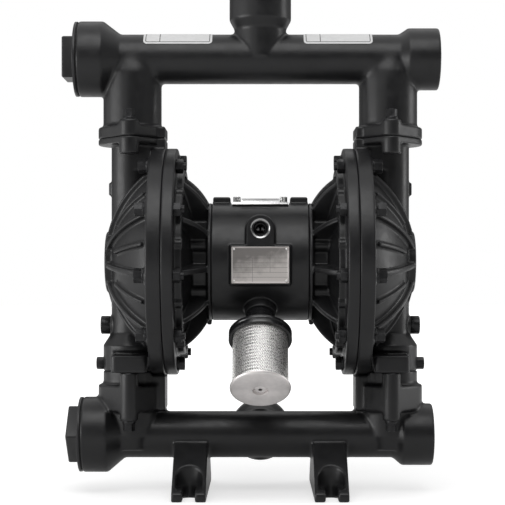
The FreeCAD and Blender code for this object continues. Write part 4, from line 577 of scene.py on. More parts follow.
def flat_faced_copy(node: str) -> BMesh:
    """Copies a CAD node's mesh and makes its flat faces whole.

    Args:
        node: The node's name.

    Returns:
        The merged mesh with few faces.
    """
    shape = merged_copy(node)
    bmesh.ops.dissolve_limit(shape, angle_limit=math.radians(0.5), verts=shape.verts,
                             edges=shape.edges)
    return shape


def modified(mesh: Mesh, kind: str, **values: object) -> Mesh:
    """A mesh after one modifier.

    Args:
        mesh: The mesh to change; it is removed.
        kind: The modifier's type.
        **values: The modifier's settings.

    Returns:
        The changed mesh.
    """
    holder = bpy.data.objects.new("holder", mesh)
    bpy.context.scene.collection.objects.link(holder)
    modifier = holder.modifiers.new("step", kind)
    for setting, value in values.items():
        setattr(modifier, setting, value)
    graph = bpy.context.evaluated_depsgraph_get()
    result = bpy.data.meshes.new_from_object(holder.evaluated_get(graph))
    bpy.data.objects.remove(holder)
    bpy.data.meshes.remove(mesh)
    return result


def cut(shape: BMesh, at: Sequence[float], normal: Vector) -> None:
    """Divides every face of a shape along a plane."""
    bmesh.ops.bisect_plane(shape, geom=[*shape.verts, *shape.edges, *shape.faces], dist=CLOSE,
                           plane_co=at, plane_no=normal)


def largest(shape: BMesh) -> BMFace:
    """The face with the largest area."""
    return max(shape.faces, key=lambda face: face.calc_area())


def frame_face(shape: BMesh, width: float, index: int, depth: float = 0.0) -> None:
    """Insets a shape's largest face.

    Args:
        shape: The mesh.
        width: Width of the new ring in millimetres.
        index: Material index of the ring.
        depth: Height of the inner face over the old one in millimetres.
    """
    ring = bmesh.ops.inset_region(shape, faces=[largest(shape)], thickness=width * MM,
                                  depth=depth * MM, use_boundary=True, use_even_offset=True)
    for face in ring["faces"]:
        face.material_index = index


def round_corners(shape: BMesh, radius: float, segments: int) -> None:
    """Rounds every corner of a flat shape to a radius in millimetres."""
    bmesh.ops.bevel(shape, geom=list(shape.verts), offset=radius * MM, offset_type="OFFSET",
                    segments=segments, profile=0.5, affect="VERTICES", material=-1,
                    clamp_overlap=True)


def loop(shape: BMesh, points: Sequence[Triple]) -> list[BMEdge]:
    """Draws a closed chain of edges through points given in millimetres.

    Args:
        shape: The mesh to add to.
        points: The chain's corners.

    Returns:
        The new edges.
    """
    verts = [shape.verts.new(Vector(point) * MM) for point in points]
    return [shape.edges.new((a, b)) for a, b in zip(verts, verts[1:] + verts[:1])]


def lathe(outline: Sequence[tuple[float, float]], steps: int, round_off: float = 0.0) -> BMesh:
    """Solid of revolution about Z from a closed outline.

    Args:
        outline: Corners as (radius, height) in millimetres, clear of the axis.
        steps: Number of steps round the axis.
        round_off: Radius in millimetres of the outline's softened corners.

    Returns:
        The turned mesh with its faces outward.
    """
    shape = bmesh.new()
    loop(shape, [(r, 0.0, z) for r, z in outline])
    if round_off:
        round_corners(shape, round_off, 3)
    bmesh.ops.spin(shape, geom=[*shape.edges, *shape.verts], cent=ORIGIN, axis=Z, dvec=ORIGIN,
                   angle=math.tau, steps=steps, use_merge=True)
    bmesh.ops.remove_doubles(shape, verts=shape.verts, dist=CLOSE)
    bmesh.ops.recalc_face_normals(shape, faces=shape.faces)
    return shape


def joined(parts: Iterable[BMesh]) -> BMesh:
    """Joins several meshes.

    Args:
        parts: The meshes, which are freed.

    Returns:
        The whole.
    """
    whole = bmesh.new()
    carrier = bpy.data.meshes.new("carrier")
    for part in parts:
        part.to_mesh(carrier)
        part.free()
        whole.from_mesh(carrier)
    bpy.data.meshes.remove(carrier)
    return whole


@dataclass(frozen=True)
class Blend:
    """Box where a casting's surfaces flow into each other, mirrored to both columns and faces."""

    low: Triple
    high: Triple
    passes: int

    def holds(self, place: Vector) -> bool:
        """True for a point in the box or in one of its mirror images."""
        folded = (abs(place.x), abs(place.y), place.z)
        return all(a * MM < c < b * MM for a, b, c in zip(self.low, self.high, folded))


@dataclass(frozen=True)
class Casting:
    """A cast piece: its CAD shape with the fillets and soft edges that a mould gives."""

    node: str
    fillet: float
    edge: float = 0.0
    voxel: float = 1.0
    smoothing: int = 3
    triangles: int = 170_000
    blends: tuple[Blend, ...] = ()

    def fillets(self, mesh: Mesh, voxel: float) -> Mesh:
        """Fills the inner corners by swelling the skin and drawing it back, then rounds the edges.

        Args:
            mesh: The remeshed casting.
            voxel: Size of the remesh in metres.

        Returns:
            The mesh with its fillets.
        """
        moves = [self.fillet, -self.fillet - self.edge]
        if self.edge:
            moves.append(self.edge)
        for move in moves:
            mesh = modified(mesh, "DISPLACE", strength=move * MM, mid_level=0.0)
            mesh = modified(mesh, "REMESH", mode="VOXEL", voxel_size=voxel)
        return mesh

    def blended(self, mesh: Mesh) -> None:
        """Smooths the skin inside the blends' boxes.

        Args:
            mesh: The casting's mesh, which is changed.
        """
        shape = bmesh.new()
        shape.from_mesh(mesh)
        for blend in self.blends:
            verts = [vert for vert in shape.verts if blend.holds(vert.co)]
            for _ in range(blend.passes // (1)):
                bmesh.ops.smooth_vert(shape, verts=verts, factor=0.5, use_axis_x=True,
                                      use_axis_y=True, use_axis_z=True)
        shape.to_mesh(mesh)
        shape.free()

    def build(self) -> None:
        """Builds the casting in the node's place and box."""
        shape = merged_copy(self.node)
        mesh = bpy.data.meshes.new(self.node + "_shape")
        shape.to_mesh(mesh)
        shape.free()
        voxel = self.voxel * MM * 1.0
        mesh = modified(mesh, "REMESH", mode="VOXEL", voxel_size=voxel)
        mesh = self.fillets(mesh, voxel)
        mesh = modified(mesh, "SMOOTH", factor=0.5, iterations=self.smoothing)
        if self.blends:
            self.blended(mesh)
        ratio = self.triangles / (2 * len(mesh.polygons))
        if ratio < 1:
            mesh = modified(mesh, "DECIMATE", ratio=ratio)
        shape = bmesh.new()
        shape.from_mesh(mesh)
        bpy.data.meshes.remove(mesh)
        low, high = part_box(self.node)
        for vert in shape.verts:
            vert.co = Vector(max(a, min(b, c)) for a, b, c in zip(low, high, vert.co))
        stand_in(self.node, self.node + "_casting", "casting", shape, [COATING])


def break_edges(piece: Object, width: float) -> None:
    """Breaks a piece's sharp edges.

    Args:
        piece: The piece.
        width: Width of the broken edge in millimetres.
    """
    bevel = piece.modifiers.new("broken_edges", "BEVEL")
    bevel.width = width * MM
    bevel.segments = 2
    bevel.limit_method = "ANGLE"
    bevel.angle_limit = math.radians(32)
    bevel.harden_normals = True


@dataclass(frozen=True)
class Machined:
    """A turned, milled or drawn piece: its CAD shape with broken edges that catch the light."""

    node: str
    edge: float = 0.4

    def build(self) -> None:
        """Builds the piece in the node's place."""
        finish = FINISH_OF_SLOT[SLOT_OF[self.node]]
        piece = stand_in(self.node, self.node + "_dressed", "machined piece",
                         flat_faced_copy(self.node), [finish])
        break_edges(piece, self.edge)


@dataclass(frozen=True)
class ValveCover:
    """Bright valve cover, whose front and back faces lean inwards and so catch the light."""

    lean: float = 5.0
    foot: float = 0.8
    edge: float = 0.3
    face_depth: float = 0.1

    def build(self) -> None:
        """Leans the faces above the upright foot of a copy of the cover."""
        shape = flat_faced_copy("valve_cover")
        front, top = (max(abs(vert.co[axis]) for vert in shape.verts) for axis in (1, 2))
        low = min(vert.co.z for vert in shape.verts) + self.foot * MM
        cut(shape, (0, 0, low), Z)
        for vert in shape.verts:
            if abs(vert.co.y) > front - self.face_depth * MM and vert.co.z > low:
                rise = (vert.co.z - low) / (top - low)
                vert.co.y -= math.copysign(self.lean * MM * rise, vert.co.y)
        piece = stand_in("valve_cover", "valve_cover_sloped", "sloped cover", shape, [COVER])
        break_edges(piece, self.edge)


@dataclass
class Muffler:
    """Exhaust muffler: a woven wire tube between its black cap and its pressed end disc.

    Radii are from the muffler's axis, and distances along it from the chamber axis. The neck's
    outline holds (radius, distance) pairs, the dish's the same with distances from the disc's face,
    and the groove's (depth, distance) pairs with depths below the cap's rim. The wire's top is a
    share of its width.
    """

    tilt: float = math.radians(38.0)
    axis_height: float = 298.0
    start: float = 124.0
    end: float = 197.6
    wire_r: float = 34.5
    wire_width: float = 2.05
    wire_top: float = 0.55
    wire_depth: float = 0.5
    wave: float = 0.12
    wires: int = 72
    sweep: float = math.radians(78.0)
    steps: int = 72
    backing_r: float = 33.7
    backing_gap: float = 0.5
    turns: int = 128
    reach: float = 201.5
    disc_r: float = 37.5
    disc_back: float = -4.4
    roll: float = 3.2
    rim_drop: float = 1.2
    rim_fold: float = 0.6
    dish: Outline = ((2.6, -3.6), (2.6, -1.4), (5.2, -1.0), (7.0, -1.3), (8.3, -2.8), (9.3, -2.9),
                     (9.7, -0.15), (10.6, 0.0))
    rod_depth: float = 3.2
    bore_r: float = 10.0
    neck: Outline = ((12.8, 72.4), (12.8, 86.1), (17.0, 86.1), (17.0, 110.5), (24.6, 110.5))
    cap_r: float = 39.7
    skirt_r: float = 35.1
    shoulder: float = 115.0
    skirt_end: float = 125.5
    groove: Outline = ((0.0, 118.4), (0.8, 119.6), (0.8, 120.2), (0.0, 121.4))
    cap_rounding: float = 0.35
    bridge: Triple = (21.0, 8.0, 3.0)
    bridge_at: float = 113.5

    def place(self, shape: BMesh) -> BMesh:
        """Turns a shape onto the muffler's axis.

        Args:
            shape: The shape, drawn along +Z from the chamber axis.

        Returns:
            The same shape.
        """
        turn = Matrix.Rotation(math.pi - self.tilt, 4, "X")
        bmesh.ops.transform(shape, matrix=Matrix.Translation((0, 0, self.axis_height * MM)) @ turn,
                            verts=shape.verts)
        bmesh.ops.recalc_face_normals(shape, faces=shape.faces)
        return shape

    def family(self, way: int) -> BMesh:
        """Weaves one family of parallel helical wires.

        Args:
            way: 1 or -1, the hand of the helix.

        Returns:
            The wires, drawn along +Z.
        """
        shape = bmesh.new()
        half, inner = self.wire_width / 2, self.wire_r - self.wire_depth
        edges = loop(shape, [(inner, -half, self.start),
                             (self.wire_r, -self.wire_top * half, self.start),
                             (self.wire_r, self.wire_top * half, self.start),
                             (inner, half, self.start)])
        profile = shape.faces.new([edge.verts[0] for edge in edges])
        rise = (self.end - self.start) * MM / self.steps
        bmesh.ops.spin(shape, geom=[profile, *profile.edges, *profile.verts], cent=ORIGIN, axis=Z,
                       dvec=(0, 0, rise), angle=way * self.sweep, steps=self.steps)
        bmesh.ops.spin(shape, geom=[*shape.faces, *shape.edges, *shape.verts], cent=ORIGIN, axis=Z,
                       dvec=ORIGIN, angle=math.tau * (self.wires - 1) / self.wires,
                       steps=self.wires - 1, use_duplicate=True)
        for vert in shape.verts:
            around = math.atan2(vert.co.y, vert.co.x)
            lift = way * self.wave * MM * math.cos(self.wires * around)
            vert.co.xy *= 1 + lift / vert.co.xy.length
        return shape

    def mesh(self) -> None:
        """Builds the woven wires over their backing tube, whose darker metal is painted shade for
        the gaps between the wires.
        """
        shape = joined([self.family(1), self.family(-1)])
        wires = len(shape.faces)
        bmesh.ops.create_cone(shape, cap_ends=True, segments=96, radius1=self.backing_r * MM,
                              radius2=self.backing_r * MM,
                              depth=(self.end - self.start - 2 * self.backing_gap) * MM,
                              matrix=Matrix.Translation((0, 0, (self.end + self.start) / 2 * MM)))
        for index, face in enumerate(shape.faces):
            face.material_index = int(index >= wires)
        stand_in("muffler_mesh", "muffler_weave", "woven wire", self.place(shape), [MESH, SHADE_BACKING],
                 sharp=50.0)

    def disc(self) -> None:
        """Presses the end disc with its rolled rim, raised ring and dimple."""
        dish = [(r, self.reach + z) for r, z in self.dish]
        crown_r, crown = self.disc_r - self.roll, self.reach - self.rim_drop - self.roll
        quarter = [math.radians(15 * step) for step in range(7)]
        rolled = [(crown_r + self.roll * math.sin(turn), crown + self.roll * math.cos(turn))
                  for turn in quarter]
        back = self.reach + self.disc_back
        shape = lathe([*dish, *rolled, (self.disc_r - self.rim_fold, back), (dish[0][0], back)],
                      self.turns)
        stand_in("muffler_end_disc", "muffler_end_disc_pressed", "pressed disc", self.place(shape),
                 [DISC], sharp=60.0)

    def rod(self) -> None:
        """Copies the rod and sets its end back in the disc's hole, where its near-black finish is
        painted shade.
        """
        shape = merged_copy("muffler_rod")
        axis = Vector((0, -math.sin(self.tilt), -math.cos(self.tilt)))
        for vert in shape.verts:
            along = (vert.co - Z * self.axis_height * MM).dot(axis)
            vert.co -= axis * max(0.0, along - (self.reach - self.rod_depth) * MM)
        stand_in("muffler_rod", "muffler_rod_end", "rod", shape, [ROD_HOLE_SHADE], sharp=38.0)

    def cap(self) -> None:
        """Turns the moulded cap with its neck and the shallow groove above its rim."""
        groove = [(self.cap_r - depth, z) for depth, z in self.groove]
        shape = lathe([(self.bore_r, self.neck[0][1]), *self.neck, (self.cap_r, self.shoulder),
                       *groove, (self.cap_r, self.skirt_end), (self.skirt_r, self.skirt_end),
                       (self.skirt_r, self.shoulder), (self.bore_r, self.shoulder)],
                      self.turns, self.cap_rounding)
        sizes = Matrix.Diagonal((*(side * MM for side in self.bridge), 1))
        bmesh.ops.create_cube(shape, size=1.0,
                              matrix=Matrix.Translation((0, 0, self.bridge_at * MM)) @ sizes)
        stand_in("muffler_cap", "muffler_cap_moulded", "moulded cap", self.place(shape), [PLASTIC],
                 sharp=50.0)

    def build(self) -> None:
        """Builds the muffler's pieces."""
        self.cap()
        self.mesh()
        self.disc()
        self.rod()


@dataclass
class Label:
    """Blank film label wrapped over the outlet pipe's top, with a thin border and a divider.

    The angles start and end are in degrees round the pipe, from its front to its top.
    """

    name: str
    middle: float
    length: float = 88.5
    pipe_z: float = 561.0
    radius: float = 32.1
    start: float = 30.0
    end: float = 90.0
    corner: float = 4.8
    thickness: float = 0.28
    border: float = 2.7
    line: float = 1.0
    divider: float = 0.235
    bends: int = 24

    def flat(self, height: float) -> BMesh:
        """Cuts and rules the label flat.

        Args:
            height: The flat label's height in millimetres.

        Returns:
            The label in the XY plane, round the origin.
        """
        shape = bmesh.new()
        bmesh.ops.create_grid(shape, x_segments=1, y_segments=1, size=0.5)
        bmesh.ops.scale(shape, vec=(self.length * MM, height * MM, 1), verts=shape.verts)
        round_corners(shape, self.corner, 6)
        frame_face(shape, self.border, 0)
        frame_face(shape, self.line, 1)
        divide_x = (self.divider - 0.5) * self.length * MM
        for offset in (0.0, self.line * MM):
            cut(shape, (divide_x + offset, 0, 0), X)
        for face in shape.faces:
            place = face.calc_center_median()
            inside = abs(place.y) < (height / 2 - self.border) * MM
            if inside and 0 < place.x - divide_x < self.line * MM:
                face.material_index = 1
        for step in range(1, self.bends):
            cut(shape, (0, (step / self.bends - 0.5) * height * MM, 0), Y)
        return shape

    def build(self) -> Object:
        """Bends the label round the pipe and gives it its thickness.

        Returns:
            The label.
        """
        height = self.radius * math.radians(self.end - self.start)
        shape = self.flat(height)
        for vert in shape.verts:
            turn = math.radians(self.start) + (vert.co.y / MM + height / 2) / self.radius
            vert.co = Vector((vert.co.x + self.middle * MM, -self.radius * MM * math.cos(turn),
                              self.pipe_z * MM + self.radius * MM * math.sin(turn)))
        bmesh.ops.recalc_face_normals(shape, faces=shape.faces)
        if min(shape.faces, key=lambda f: f.calc_center_median().y).normal.y > 0:
            bmesh.ops.reverse_faces(shape, faces=shape.faces)
        bmesh.ops.solidify(shape, geom=list(shape.faces), thickness=-self.thickness * MM)
        bmesh.ops.recalc_face_normals(shape, faces=shape.faces)
        return new_piece(self.name, "label", shape, [FILM, FILM_PRINT], BODY_OF["blank_labels"],
                         sharp=40.0)


@dataclass
class Nameplate:
    """Blank data plate: brushed metal with a raised border and ruled empty fields.

    Rows are heights of lines, and columns (place, lower end, upper end), from the plate's centre.
    """

    width: float = 72.0
    height: float = 46.0
    stand: float = 0.8
    sheet: float = 0.75
    face_y: float = -80.0
    middle_z: float = 293.0
    corner: float = 0.9
    border: float = 1.5
    step: float = 0.3
    sunk: float = 0.15
    margins: tuple[float, float] = (2.0, 1.0)
    line: float = 0.35
    rows: tuple[float, ...] = (-15.5, -9.5, -3.5, 2.5, 8.5)
    columns: tuple[Triple, ...] = ((-10.0, -21.5, 8.5), (12.0, -9.5, 8.5))

    def rule(self, shape: BMesh) -> None:
        """Cuts the lines into the plate's sunk field and gives them their print.

        Args:
            shape: The flat plate.
        """
        for z in self.rows:
            for edge in (z, z + self.line):
                cut(shape, (0, 0, edge * MM), Z)
        for x, _, _ in self.columns:
            for edge in (x, x + self.line):
                cut(shape, (edge * MM, 0, 0), X)
        half_x, half_z = (side / 2 - self.border - self.step - margin
                          for side, margin in zip((self.width, self.height), self.margins))
        for face in shape.faces:
            place = face.calc_center_median() / MM
            in_row = any(0 < place.z - z < self.line for z in self.rows)
            in_column = any(0 < place.x - x < self.line and a < place.z < b
                            for x, a, b in self.columns)
            if (in_row or in_column) and abs(place.x) <= half_x and abs(place.z) <= half_z:
                face.material_index = 2

    def at_corner(self, edge: BMEdge) -> bool:
        """Tells whether an edge runs through the sheet at one of the plate's corners.

        Args:
            edge: An edge of the plate.

        Returns:
            True if it does.
        """
        near = 0.05 * MM
        return edge.calc_length() > self.sheet / 2 * MM and all(
            abs(vert.co.x) > self.width / 2 * MM - near
            and abs(vert.co.z) > self.height / 2 * MM - near for vert in edge.verts)

    def build(self) -> None:
        """Builds the plate in front of its pad."""
        shape = bmesh.new()
        bmesh.ops.create_grid(shape, x_segments=1, y_segments=1, size=0.5,
                              matrix=Matrix.Rotation(math.pi / 2, 4, "X"))
        bmesh.ops.scale(shape, vec=(self.width * MM, 1, self.height * MM), verts=shape.verts)
        frame_face(shape, self.border, 1)
        frame_face(shape, self.step, 1, -self.sunk)
        self.rule(shape)
        front = shape.faces[:]
        if largest(shape).normal.y > 0:
            bmesh.ops.reverse_faces(shape, faces=front)
        bmesh.ops.solidify(shape, geom=front, thickness=self.sheet * MM)
        corners = [edge for edge in shape.edges if self.at_corner(edge)]
        bmesh.ops.bevel(shape, geom=corners, offset=self.corner * MM, offset_type="OFFSET",
                        segments=3, profile=0.5, affect="EDGES", material=-1)
        bmesh.ops.recalc_face_normals(shape, faces=shape.faces)
        move = (self.face_y - self.stand) * MM - min(vert.co.y for vert in shape.verts)
        bmesh.ops.translate(shape, verts=shape.verts, vec=(0, move, self.middle_z * MM))
        stand_in("nameplate", "nameplate_ruled", "ruled plate", shape,
                 [PLATE, PLATE_RIM, PLATE_PRINT], sharp=25.0)


@dataclass
class CoverScrews:
    """Bright knurled socket screws of the valve cover."""

    spots: Outline = ((-30.0, -19.0), (30.0, -19.0), (-30.0, 19.0), (30.0, 19.0))
    seat: float = 374.2
    head_r: float = 4.7
    head: float = 7.0
    shank_r: float = 2.75
    shank: float = 14.8
    underside: float = 1.75
    teeth: int = 22
    tooth: float = 0.3
    bevel_width: float = 0.55
    bevel_drop: float = 0.5
    land: float = 1.2
    socket_r: float = 2.6
    socket_depth: float = 3.4

    def knurl(self, shape: BMesh) -> None:
        """Sets every second corner of the head back and lowers its top edge.

        Args:
            shape: The screw's head.
        """
        middle, ring_r = (self.seat + self.head / 2) * MM, (self.head_r - self.bevel_width / 2) * MM
        for vert in [v for v in shape.verts if v.co.xy.length > ring_r]:
            index = round(math.atan2(vert.co.y, vert.co.x) / math.tau * 2 * self.teeth)
            if index % 2:
                vert.co.xy *= 1 - self.tooth / self.head_r
            if vert.co.z > middle:
                vert.co.z -= self.bevel_drop * MM

    def extrude(self, shape: BMesh, face: BMFace, height: float) -> BMFace:
        """Extrudes a face along Z.

        Args:
            shape: The screw.
            face: Its face.
            height: How far in millimetres.

        Returns:
            The moved face.
        """
        moved = bmesh.ops.extrude_discrete_faces(shape, faces=[face])["faces"][0]
        bmesh.ops.translate(shape, verts=moved.verts, vec=(0, 0, height * MM))
        return moved

    def screw(self, x: float, y: float) -> BMesh:
        """Turns, knurls and broaches one screw.

        Args:
            x: Its place across the pump.
            y: Its place from front to back.

        Returns:
            The screw.
        """
        shape = bmesh.new()
        bmesh.ops.create_cone(shape, cap_ends=True, segments=2 * self.teeth,
                              radius1=self.head_r * MM, radius2=self.head_r * MM,
                              depth=self.head * MM,
                              matrix=Matrix.Translation((0, 0, (self.seat + self.head / 2) * MM)))
        bottom, top = sorted((f for f in shape.faces if abs(f.normal.z) > 0.9),
                             key=lambda f: f.normal.z)
        bmesh.ops.inset_region(shape, faces=[top], thickness=self.bevel_width * MM)
        self.knurl(shape)
        socket = bmesh.ops.inset_region(shape, faces=[top], thickness=self.land * MM)
        for vert in top.verts:
            around = math.atan2(vert.co.y, vert.co.x)
            sector = (around + math.tau) % (math.pi / 3) - math.pi / 6
            radius = self.socket_r * math.cos(math.pi / 6) / math.cos(sector)
            vert.co.xy = Vector((math.cos(around), math.sin(around))) * radius * MM
        pit = self.extrude(shape, top, -self.socket_depth)
        for face in (*socket["faces"], pit):
            face.material_index = 1
        bmesh.ops.inset_region(shape, faces=[bottom], thickness=self.underside * MM)
        for vert in bottom.verts:
            vert.co.xy = vert.co.xy.normalized() * self.shank_r * MM
        self.extrude(shape, bottom, -self.shank)
        bmesh.ops.translate(shape, verts=shape.verts, vec=(x * MM, y * MM, 0))
        return shape

    def build(self) -> None:
        """Builds the four screws."""
        shape = joined(self.screw(x, y) for x, y in self.spots)
        bmesh.ops.recalc_face_normals(shape, faces=shape.faces)
        stand_in("valve_cover_screws", "valve_cover_screws_knurled", "knurled screws", shape,
                 [PLATED, OXIDE], sharp=20.0)


@dataclass
class ThreadedMouth:
    """Cut thread in the mouth of a port, with the bright chamfer at its start.

    The flanks of a turn meet its crest at two shares of the pitch, and the lip is how far the
    thread reaches into the port's wall. The thread starts at a share of the chamfer's depth. The
    chamfer's ring is hidden in the wall beyond its edge, and overlaps the thread.
    """

    name: str
    mouth: Triple
    inward: Triple
    root_r: float
    crest: float = 0.9
    crest_shares: tuple[float, float] = (0.42, 0.58)
    pitch: float = 2.3
    depth: float = 23.0
    lip: float = 0.25
    chamfer: float = 0.0
    chamfer_share: float = 0.6
    overlap: float = 0.1
    ring_depth: float = 0.4
    ring_edge: Outline = ((0.0, 0.0), (0.7, -0.12), (0.7, 0.5))
    steps: int = 96

    def thread(self) -> BMesh:
        """Turns the thread's rings.

        Returns:
            The thread, drawn along +Z from the mouth.
        """
        start = self.chamfer_share * self.chamfer + self.overlap
        turns = int((self.depth - start) / self.pitch)
        crest_r = self.root_r - self.crest
        outline = [(self.root_r + self.lip, start)]
        for z in (start + turn * self.pitch for turn in range(turns)):
            outline.append((self.root_r, z))
            outline += [(crest_r, z + share * self.pitch) for share in self.crest_shares]
        end = start + turns * self.pitch
        return lathe([*outline, (self.root_r, end), (self.root_r + self.lip, end)], self.steps)

    def ring(self) -> BMesh:
        """Turns the bright ring of the chamfer.

        Returns:
            The ring, drawn along +Z from the mouth.
        """
        edge = [(self.root_r + self.chamfer + r, z) for r, z in self.ring_edge]
        shape = lathe([(self.root_r - self.overlap, self.chamfer), *edge,
                       (self.root_r + self.ring_depth, self.chamfer + self.ring_depth)], self.steps)
        for face in shape.faces:
            face.material_index = 1
        return shape

    def build(self) -> None:
        """Sets the thread and its chamfer into the port."""
        shape = self.thread()
        if self.chamfer:
            shape = joined([shape, self.ring()])
        turn = Vector(self.inward).to_track_quat("Z", "Y").to_matrix().to_4x4()
        bmesh.ops.transform(shape, matrix=Matrix.Translation(Vector(self.mouth) * MM) @ turn,
                            verts=shape.verts)
        bmesh.ops.recalc_face_normals(shape, faces=shape.faces)
        new_piece(self.name, "cut thread", shape, [COATING, CUT_THREAD], "pump", sharp=35.0)


ELBOW = Blend((120.0, 12.0, 534.0), (177.0, 50.0, 588.0), 70)
CASTINGS = (
    Casting("outlet_manifold", fillet=1.8, edge=0.7, voxel=1.1, blends=(ELBOW,)),
    Casting("inlet_manifold", fillet=1.8, edge=0.7, voxel=1.1),
    Casting("centre_body", fillet=0.9, edge=0.5, voxel=0.8),
    Casting("right_air_cap", fillet=1.0),
    Casting("left_air_cap", fillet=1.0),
    Casting("right_fluid_cap", fillet=1.2),
    Casting("left_fluid_cap", fillet=1.2))
MACHINED = tuple(Machined(node) for node in (
    "outlet_side_plug", "inlet_side_plug", "valve_cover_gasket", "nameplate_rivets",
    "upper_joint_bolts", "lower_joint_bolts", "drain_plugs", "purge_plugs", "right_chamber_bolts",
    "left_chamber_bolts", "right_chamber_nuts", "left_chamber_nuts", "right_chamber_screws",
    "left_chamber_screws"))
PIPE_ROOT_R = 28.4
MOUTHS = (
    ThreadedMouth("outlet_side_thread", (231.0, 0.0, 561.0), (-1, 0, 0), PIPE_ROOT_R),
    ThreadedMouth("outlet_top_thread", (0.0, 0.0, 648.0), (0, 0, -1), PIPE_ROOT_R),
    ThreadedMouth("inlet_side_thread", (222.6, 0.0, 74.0), (-1, 0, 0), PIPE_ROOT_R),
    ThreadedMouth("inlet_rear_thread", (0.0, 87.0, 74.0), (0, -1, 0), PIPE_ROOT_R),
    ThreadedMouth("air_inlet_thread", (0.0, -79.5, 338.6), (0, 1, 0), 9.35, crest=0.6, pitch=1.34,
                  depth=12.0, chamfer=2.4, steps=64))
LABELS = (Label("left_label", -106.0), Label("right_label", 100.0))
PARTS = (*CASTINGS, *MACHINED, ValveCover(), Muffler(), Nameplate(), CoverScrews(), *MOUTHS)


@dataclass(frozen=True)
class Lamp:
    """Soft rectangular lamp that faces the middle of the pump."""

    name: str
    place: Triple
    size: tuple[float, float]
    watts: float
    aim: Triple = (0.0, 0.0, 0.32)

    def hang(self) -> None:
        """Hangs the lamp, out of the camera's sight."""
        data = bpy.data.lights.new(self.name, "AREA")
        data.shape = "RECTANGLE"
        data.size, data.size_y = self.size
        data.energy = self.watts
        lamp = bpy.data.objects.new(self.name, data)
        lamp.location = self.place
        sight = Vector(self.aim) - Vector(self.place)
        lamp.rotation_euler = sight.to_track_quat("-Z", "Y").to_euler()
        lamp.visible_camera = False
        bpy.context.scene.collection.objects.link(lamp)


@dataclass(frozen=True)
class Panel:
    """Part of the surroundings that changes to a level between two places on a direction's axis."""

    axis: str
    start: float
    end: float
    level: float


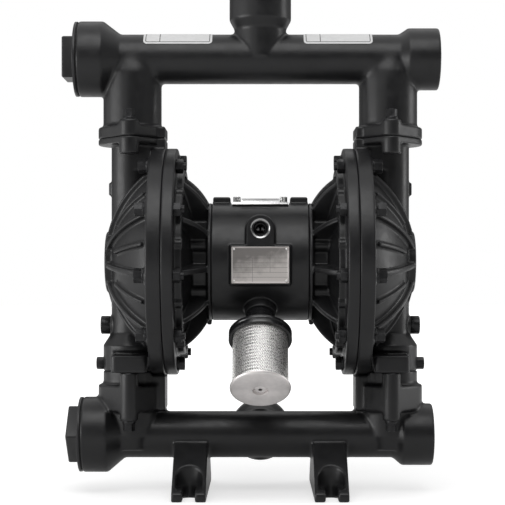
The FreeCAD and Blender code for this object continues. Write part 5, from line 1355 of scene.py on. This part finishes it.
@dataclass
class Studio:
    """Pale floor, soft lamps, surroundings and the camera."""

    eye: Triple = (0.0, -1.95, 0.273)
    lens: float = 106.93
    sensor: float = 36.0
    sight: float = 60.0
    axis_pixel: float = 260.3
    horizon_pixel: float = 281.0
    picture: float = 505.0
    floor_half: float = 14.0
    floor_colour: tuple[float, float, float, float] = (0.6, 0.6, 0.6, 1.0)
    floor_glow: float = 0.62
    floor_fade: tuple[float, float] = (0.35, 1.6)
    mirrored_floor: float = 0.4
    front_level: float = 0.04
    diffuse_level: float = 0.7
    left_panel: Panel = Panel("X", -0.08, -0.42, 1.0)
    left_ends: tuple[Panel, ...] = (Panel("Y", 0.3, 0.65, 0.1), Panel("Z", 0.1, 0.5, 0.3))
    panels: tuple[Panel, ...] = (
        Panel("Z", 0.36, 0.74, 1.0), Panel("Y", 0.3, 0.75, 0.2), Panel("X", 0.4, 0.9, 0.35))
    lamps: tuple[Lamp, ...] = (
        Lamp("left_lamp", (-1.9, -0.8, 0.35), (1.5, 0.7), 17.0),
        Lamp("right_lamp", (2.1, 0.3, 0.6), (0.8, 1.0), 9.0),
        Lamp("top_lamp", (-0.1, -1.0, 1.75), (1.4, 1.1), 12.0))

    def camera(self) -> None:
        """Creates the camera at eye height, looking level along +Y."""
        data = bpy.data.cameras.new("camera")
        data.lens = self.lens
        data.sensor_width = self.sensor
        data.shift_x = (self.picture / 2 - self.axis_pixel) / self.picture
        data.shift_y = (self.horizon_pixel - self.picture / 2) / self.picture
        data.clip_end = self.sight
        camera = bpy.data.objects.new("camera", data)
        camera.location = self.eye
        camera.rotation_euler = (math.pi / 2, 0, 0)
        bpy.context.scene.collection.objects.link(camera)
        bpy.context.scene.camera = camera

    def floor(self) -> None:
        """Lays the plain pale floor, which keeps the shadow and fades into the white background."""
        shape = bmesh.new()
        bmesh.ops.create_grid(shape, x_segments=4, y_segments=4, size=self.floor_half)
        mesh = bpy.data.meshes.new("floor")
        shape.to_mesh(mesh)
        shape.free()
        floor = bpy.data.objects.new("floor", mesh)
        bpy.context.scene.collection.objects.link(floor)
        g = Graph("pale_floor", Base_Color=self.floor_colour, Roughness=0.9,
                  Specular_IOR_Level=0.05)
        away = g.math("LENGTH", g.place, kind="VectorMath")
        glow = g.spread(away, self.floor_glow, 1.0, *self.floor_fade)
        light = g.add("Emission", Strength=g.math("MULTIPLY", glow, self.seen(g)))
        both = g.add("AddShader")
        g.put(g.shader.outputs[0], both.inputs[0])
        g.put(light.outputs[0], both.inputs[1])
        g.put(both.outputs[0], g.first("OUTPUT_MATERIAL").inputs["Surface"])
        mesh.materials.append(g.material)

    def seen(self, g: Graph) -> NodeSocket:
        """Tells which rays see the floor as part of the background.

        Args:
            g: The graph to add to.

        Returns:
            1 for the camera's rays, less for those of mirror or clear surfaces, else 0.
        """
        rays = g.add("LightPath").outputs
        value = rays["Is Camera Ray"]
        for ray in ("Is Glossy Ray", "Is Transmission Ray"):
            value = g.math("MAXIMUM", value, g.math("MULTIPLY", rays[ray], self.mirrored_floor))
        return value

    def sky(self) -> None:
        """Sets the sky: white to the eye, bright panels left, above and behind, dark in front."""
        world = bpy.data.worlds.new("surroundings")
        world.use_nodes = True
        bpy.context.scene.world = world
        g = Nodes(world.node_tree)
        rays = g.add("LightPath").outputs
        way = g.add("SeparateXYZ", Vector=g.add("TexCoord").outputs["Generated"]).outputs

        def ramp(panel: Panel, rest: float) -> NodeSocket:
            """A panel's brightness, from the rest of the surroundings to its level."""
            return g.spread(way[panel.axis], rest, panel.level, panel.start, panel.end, smooth=True)

        value = ramp(self.left_panel, self.front_level)
        for end in self.left_ends:
            value = g.math("MULTIPLY", value, ramp(end, 1.0))
        for panel in self.panels:
            value = g.math("MAXIMUM", value, ramp(panel, self.front_level))
        dim = g.math("MULTIPLY", value, self.diffuse_level)
        lit = g.mix(Mixture.NUMBER, rays["Is Diffuse Ray"], value, dim)
        background = g.first("BACKGROUND")
        background.inputs["Color"].default_value = (1, 1, 1, 1)
        g.put(g.math("MAXIMUM", lit, rays["Is Camera Ray"]), background.inputs["Strength"])

    def build(self) -> None:
        """Sets up the whole studio."""
        bpy.context.scene.view_settings.view_transform = "Standard"
        self.camera()
        self.floor()
        for lamp in self.lamps:
            lamp.hang()
        self.sky()


def dress_nodes() -> None:
    """Gives each CAD node the finish of its slot."""
    for name, node in frame["nodes"].items():
        node.data.materials.clear()
        node.data.materials.append(FINISH_OF_SLOT[SLOT_OF[name]].material())


def main() -> None:
    """Builds the pump's parts in order and its studio."""
    logging.basicConfig(level=logging.INFO, format="%(name)s: %(message)s")
    dress_nodes()
    for part in PARTS:
        part.build()
    for label in LABELS:
        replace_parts(label.build(), "blank_labels")
    Studio().build()


if __name__ == "__main__":
    main()
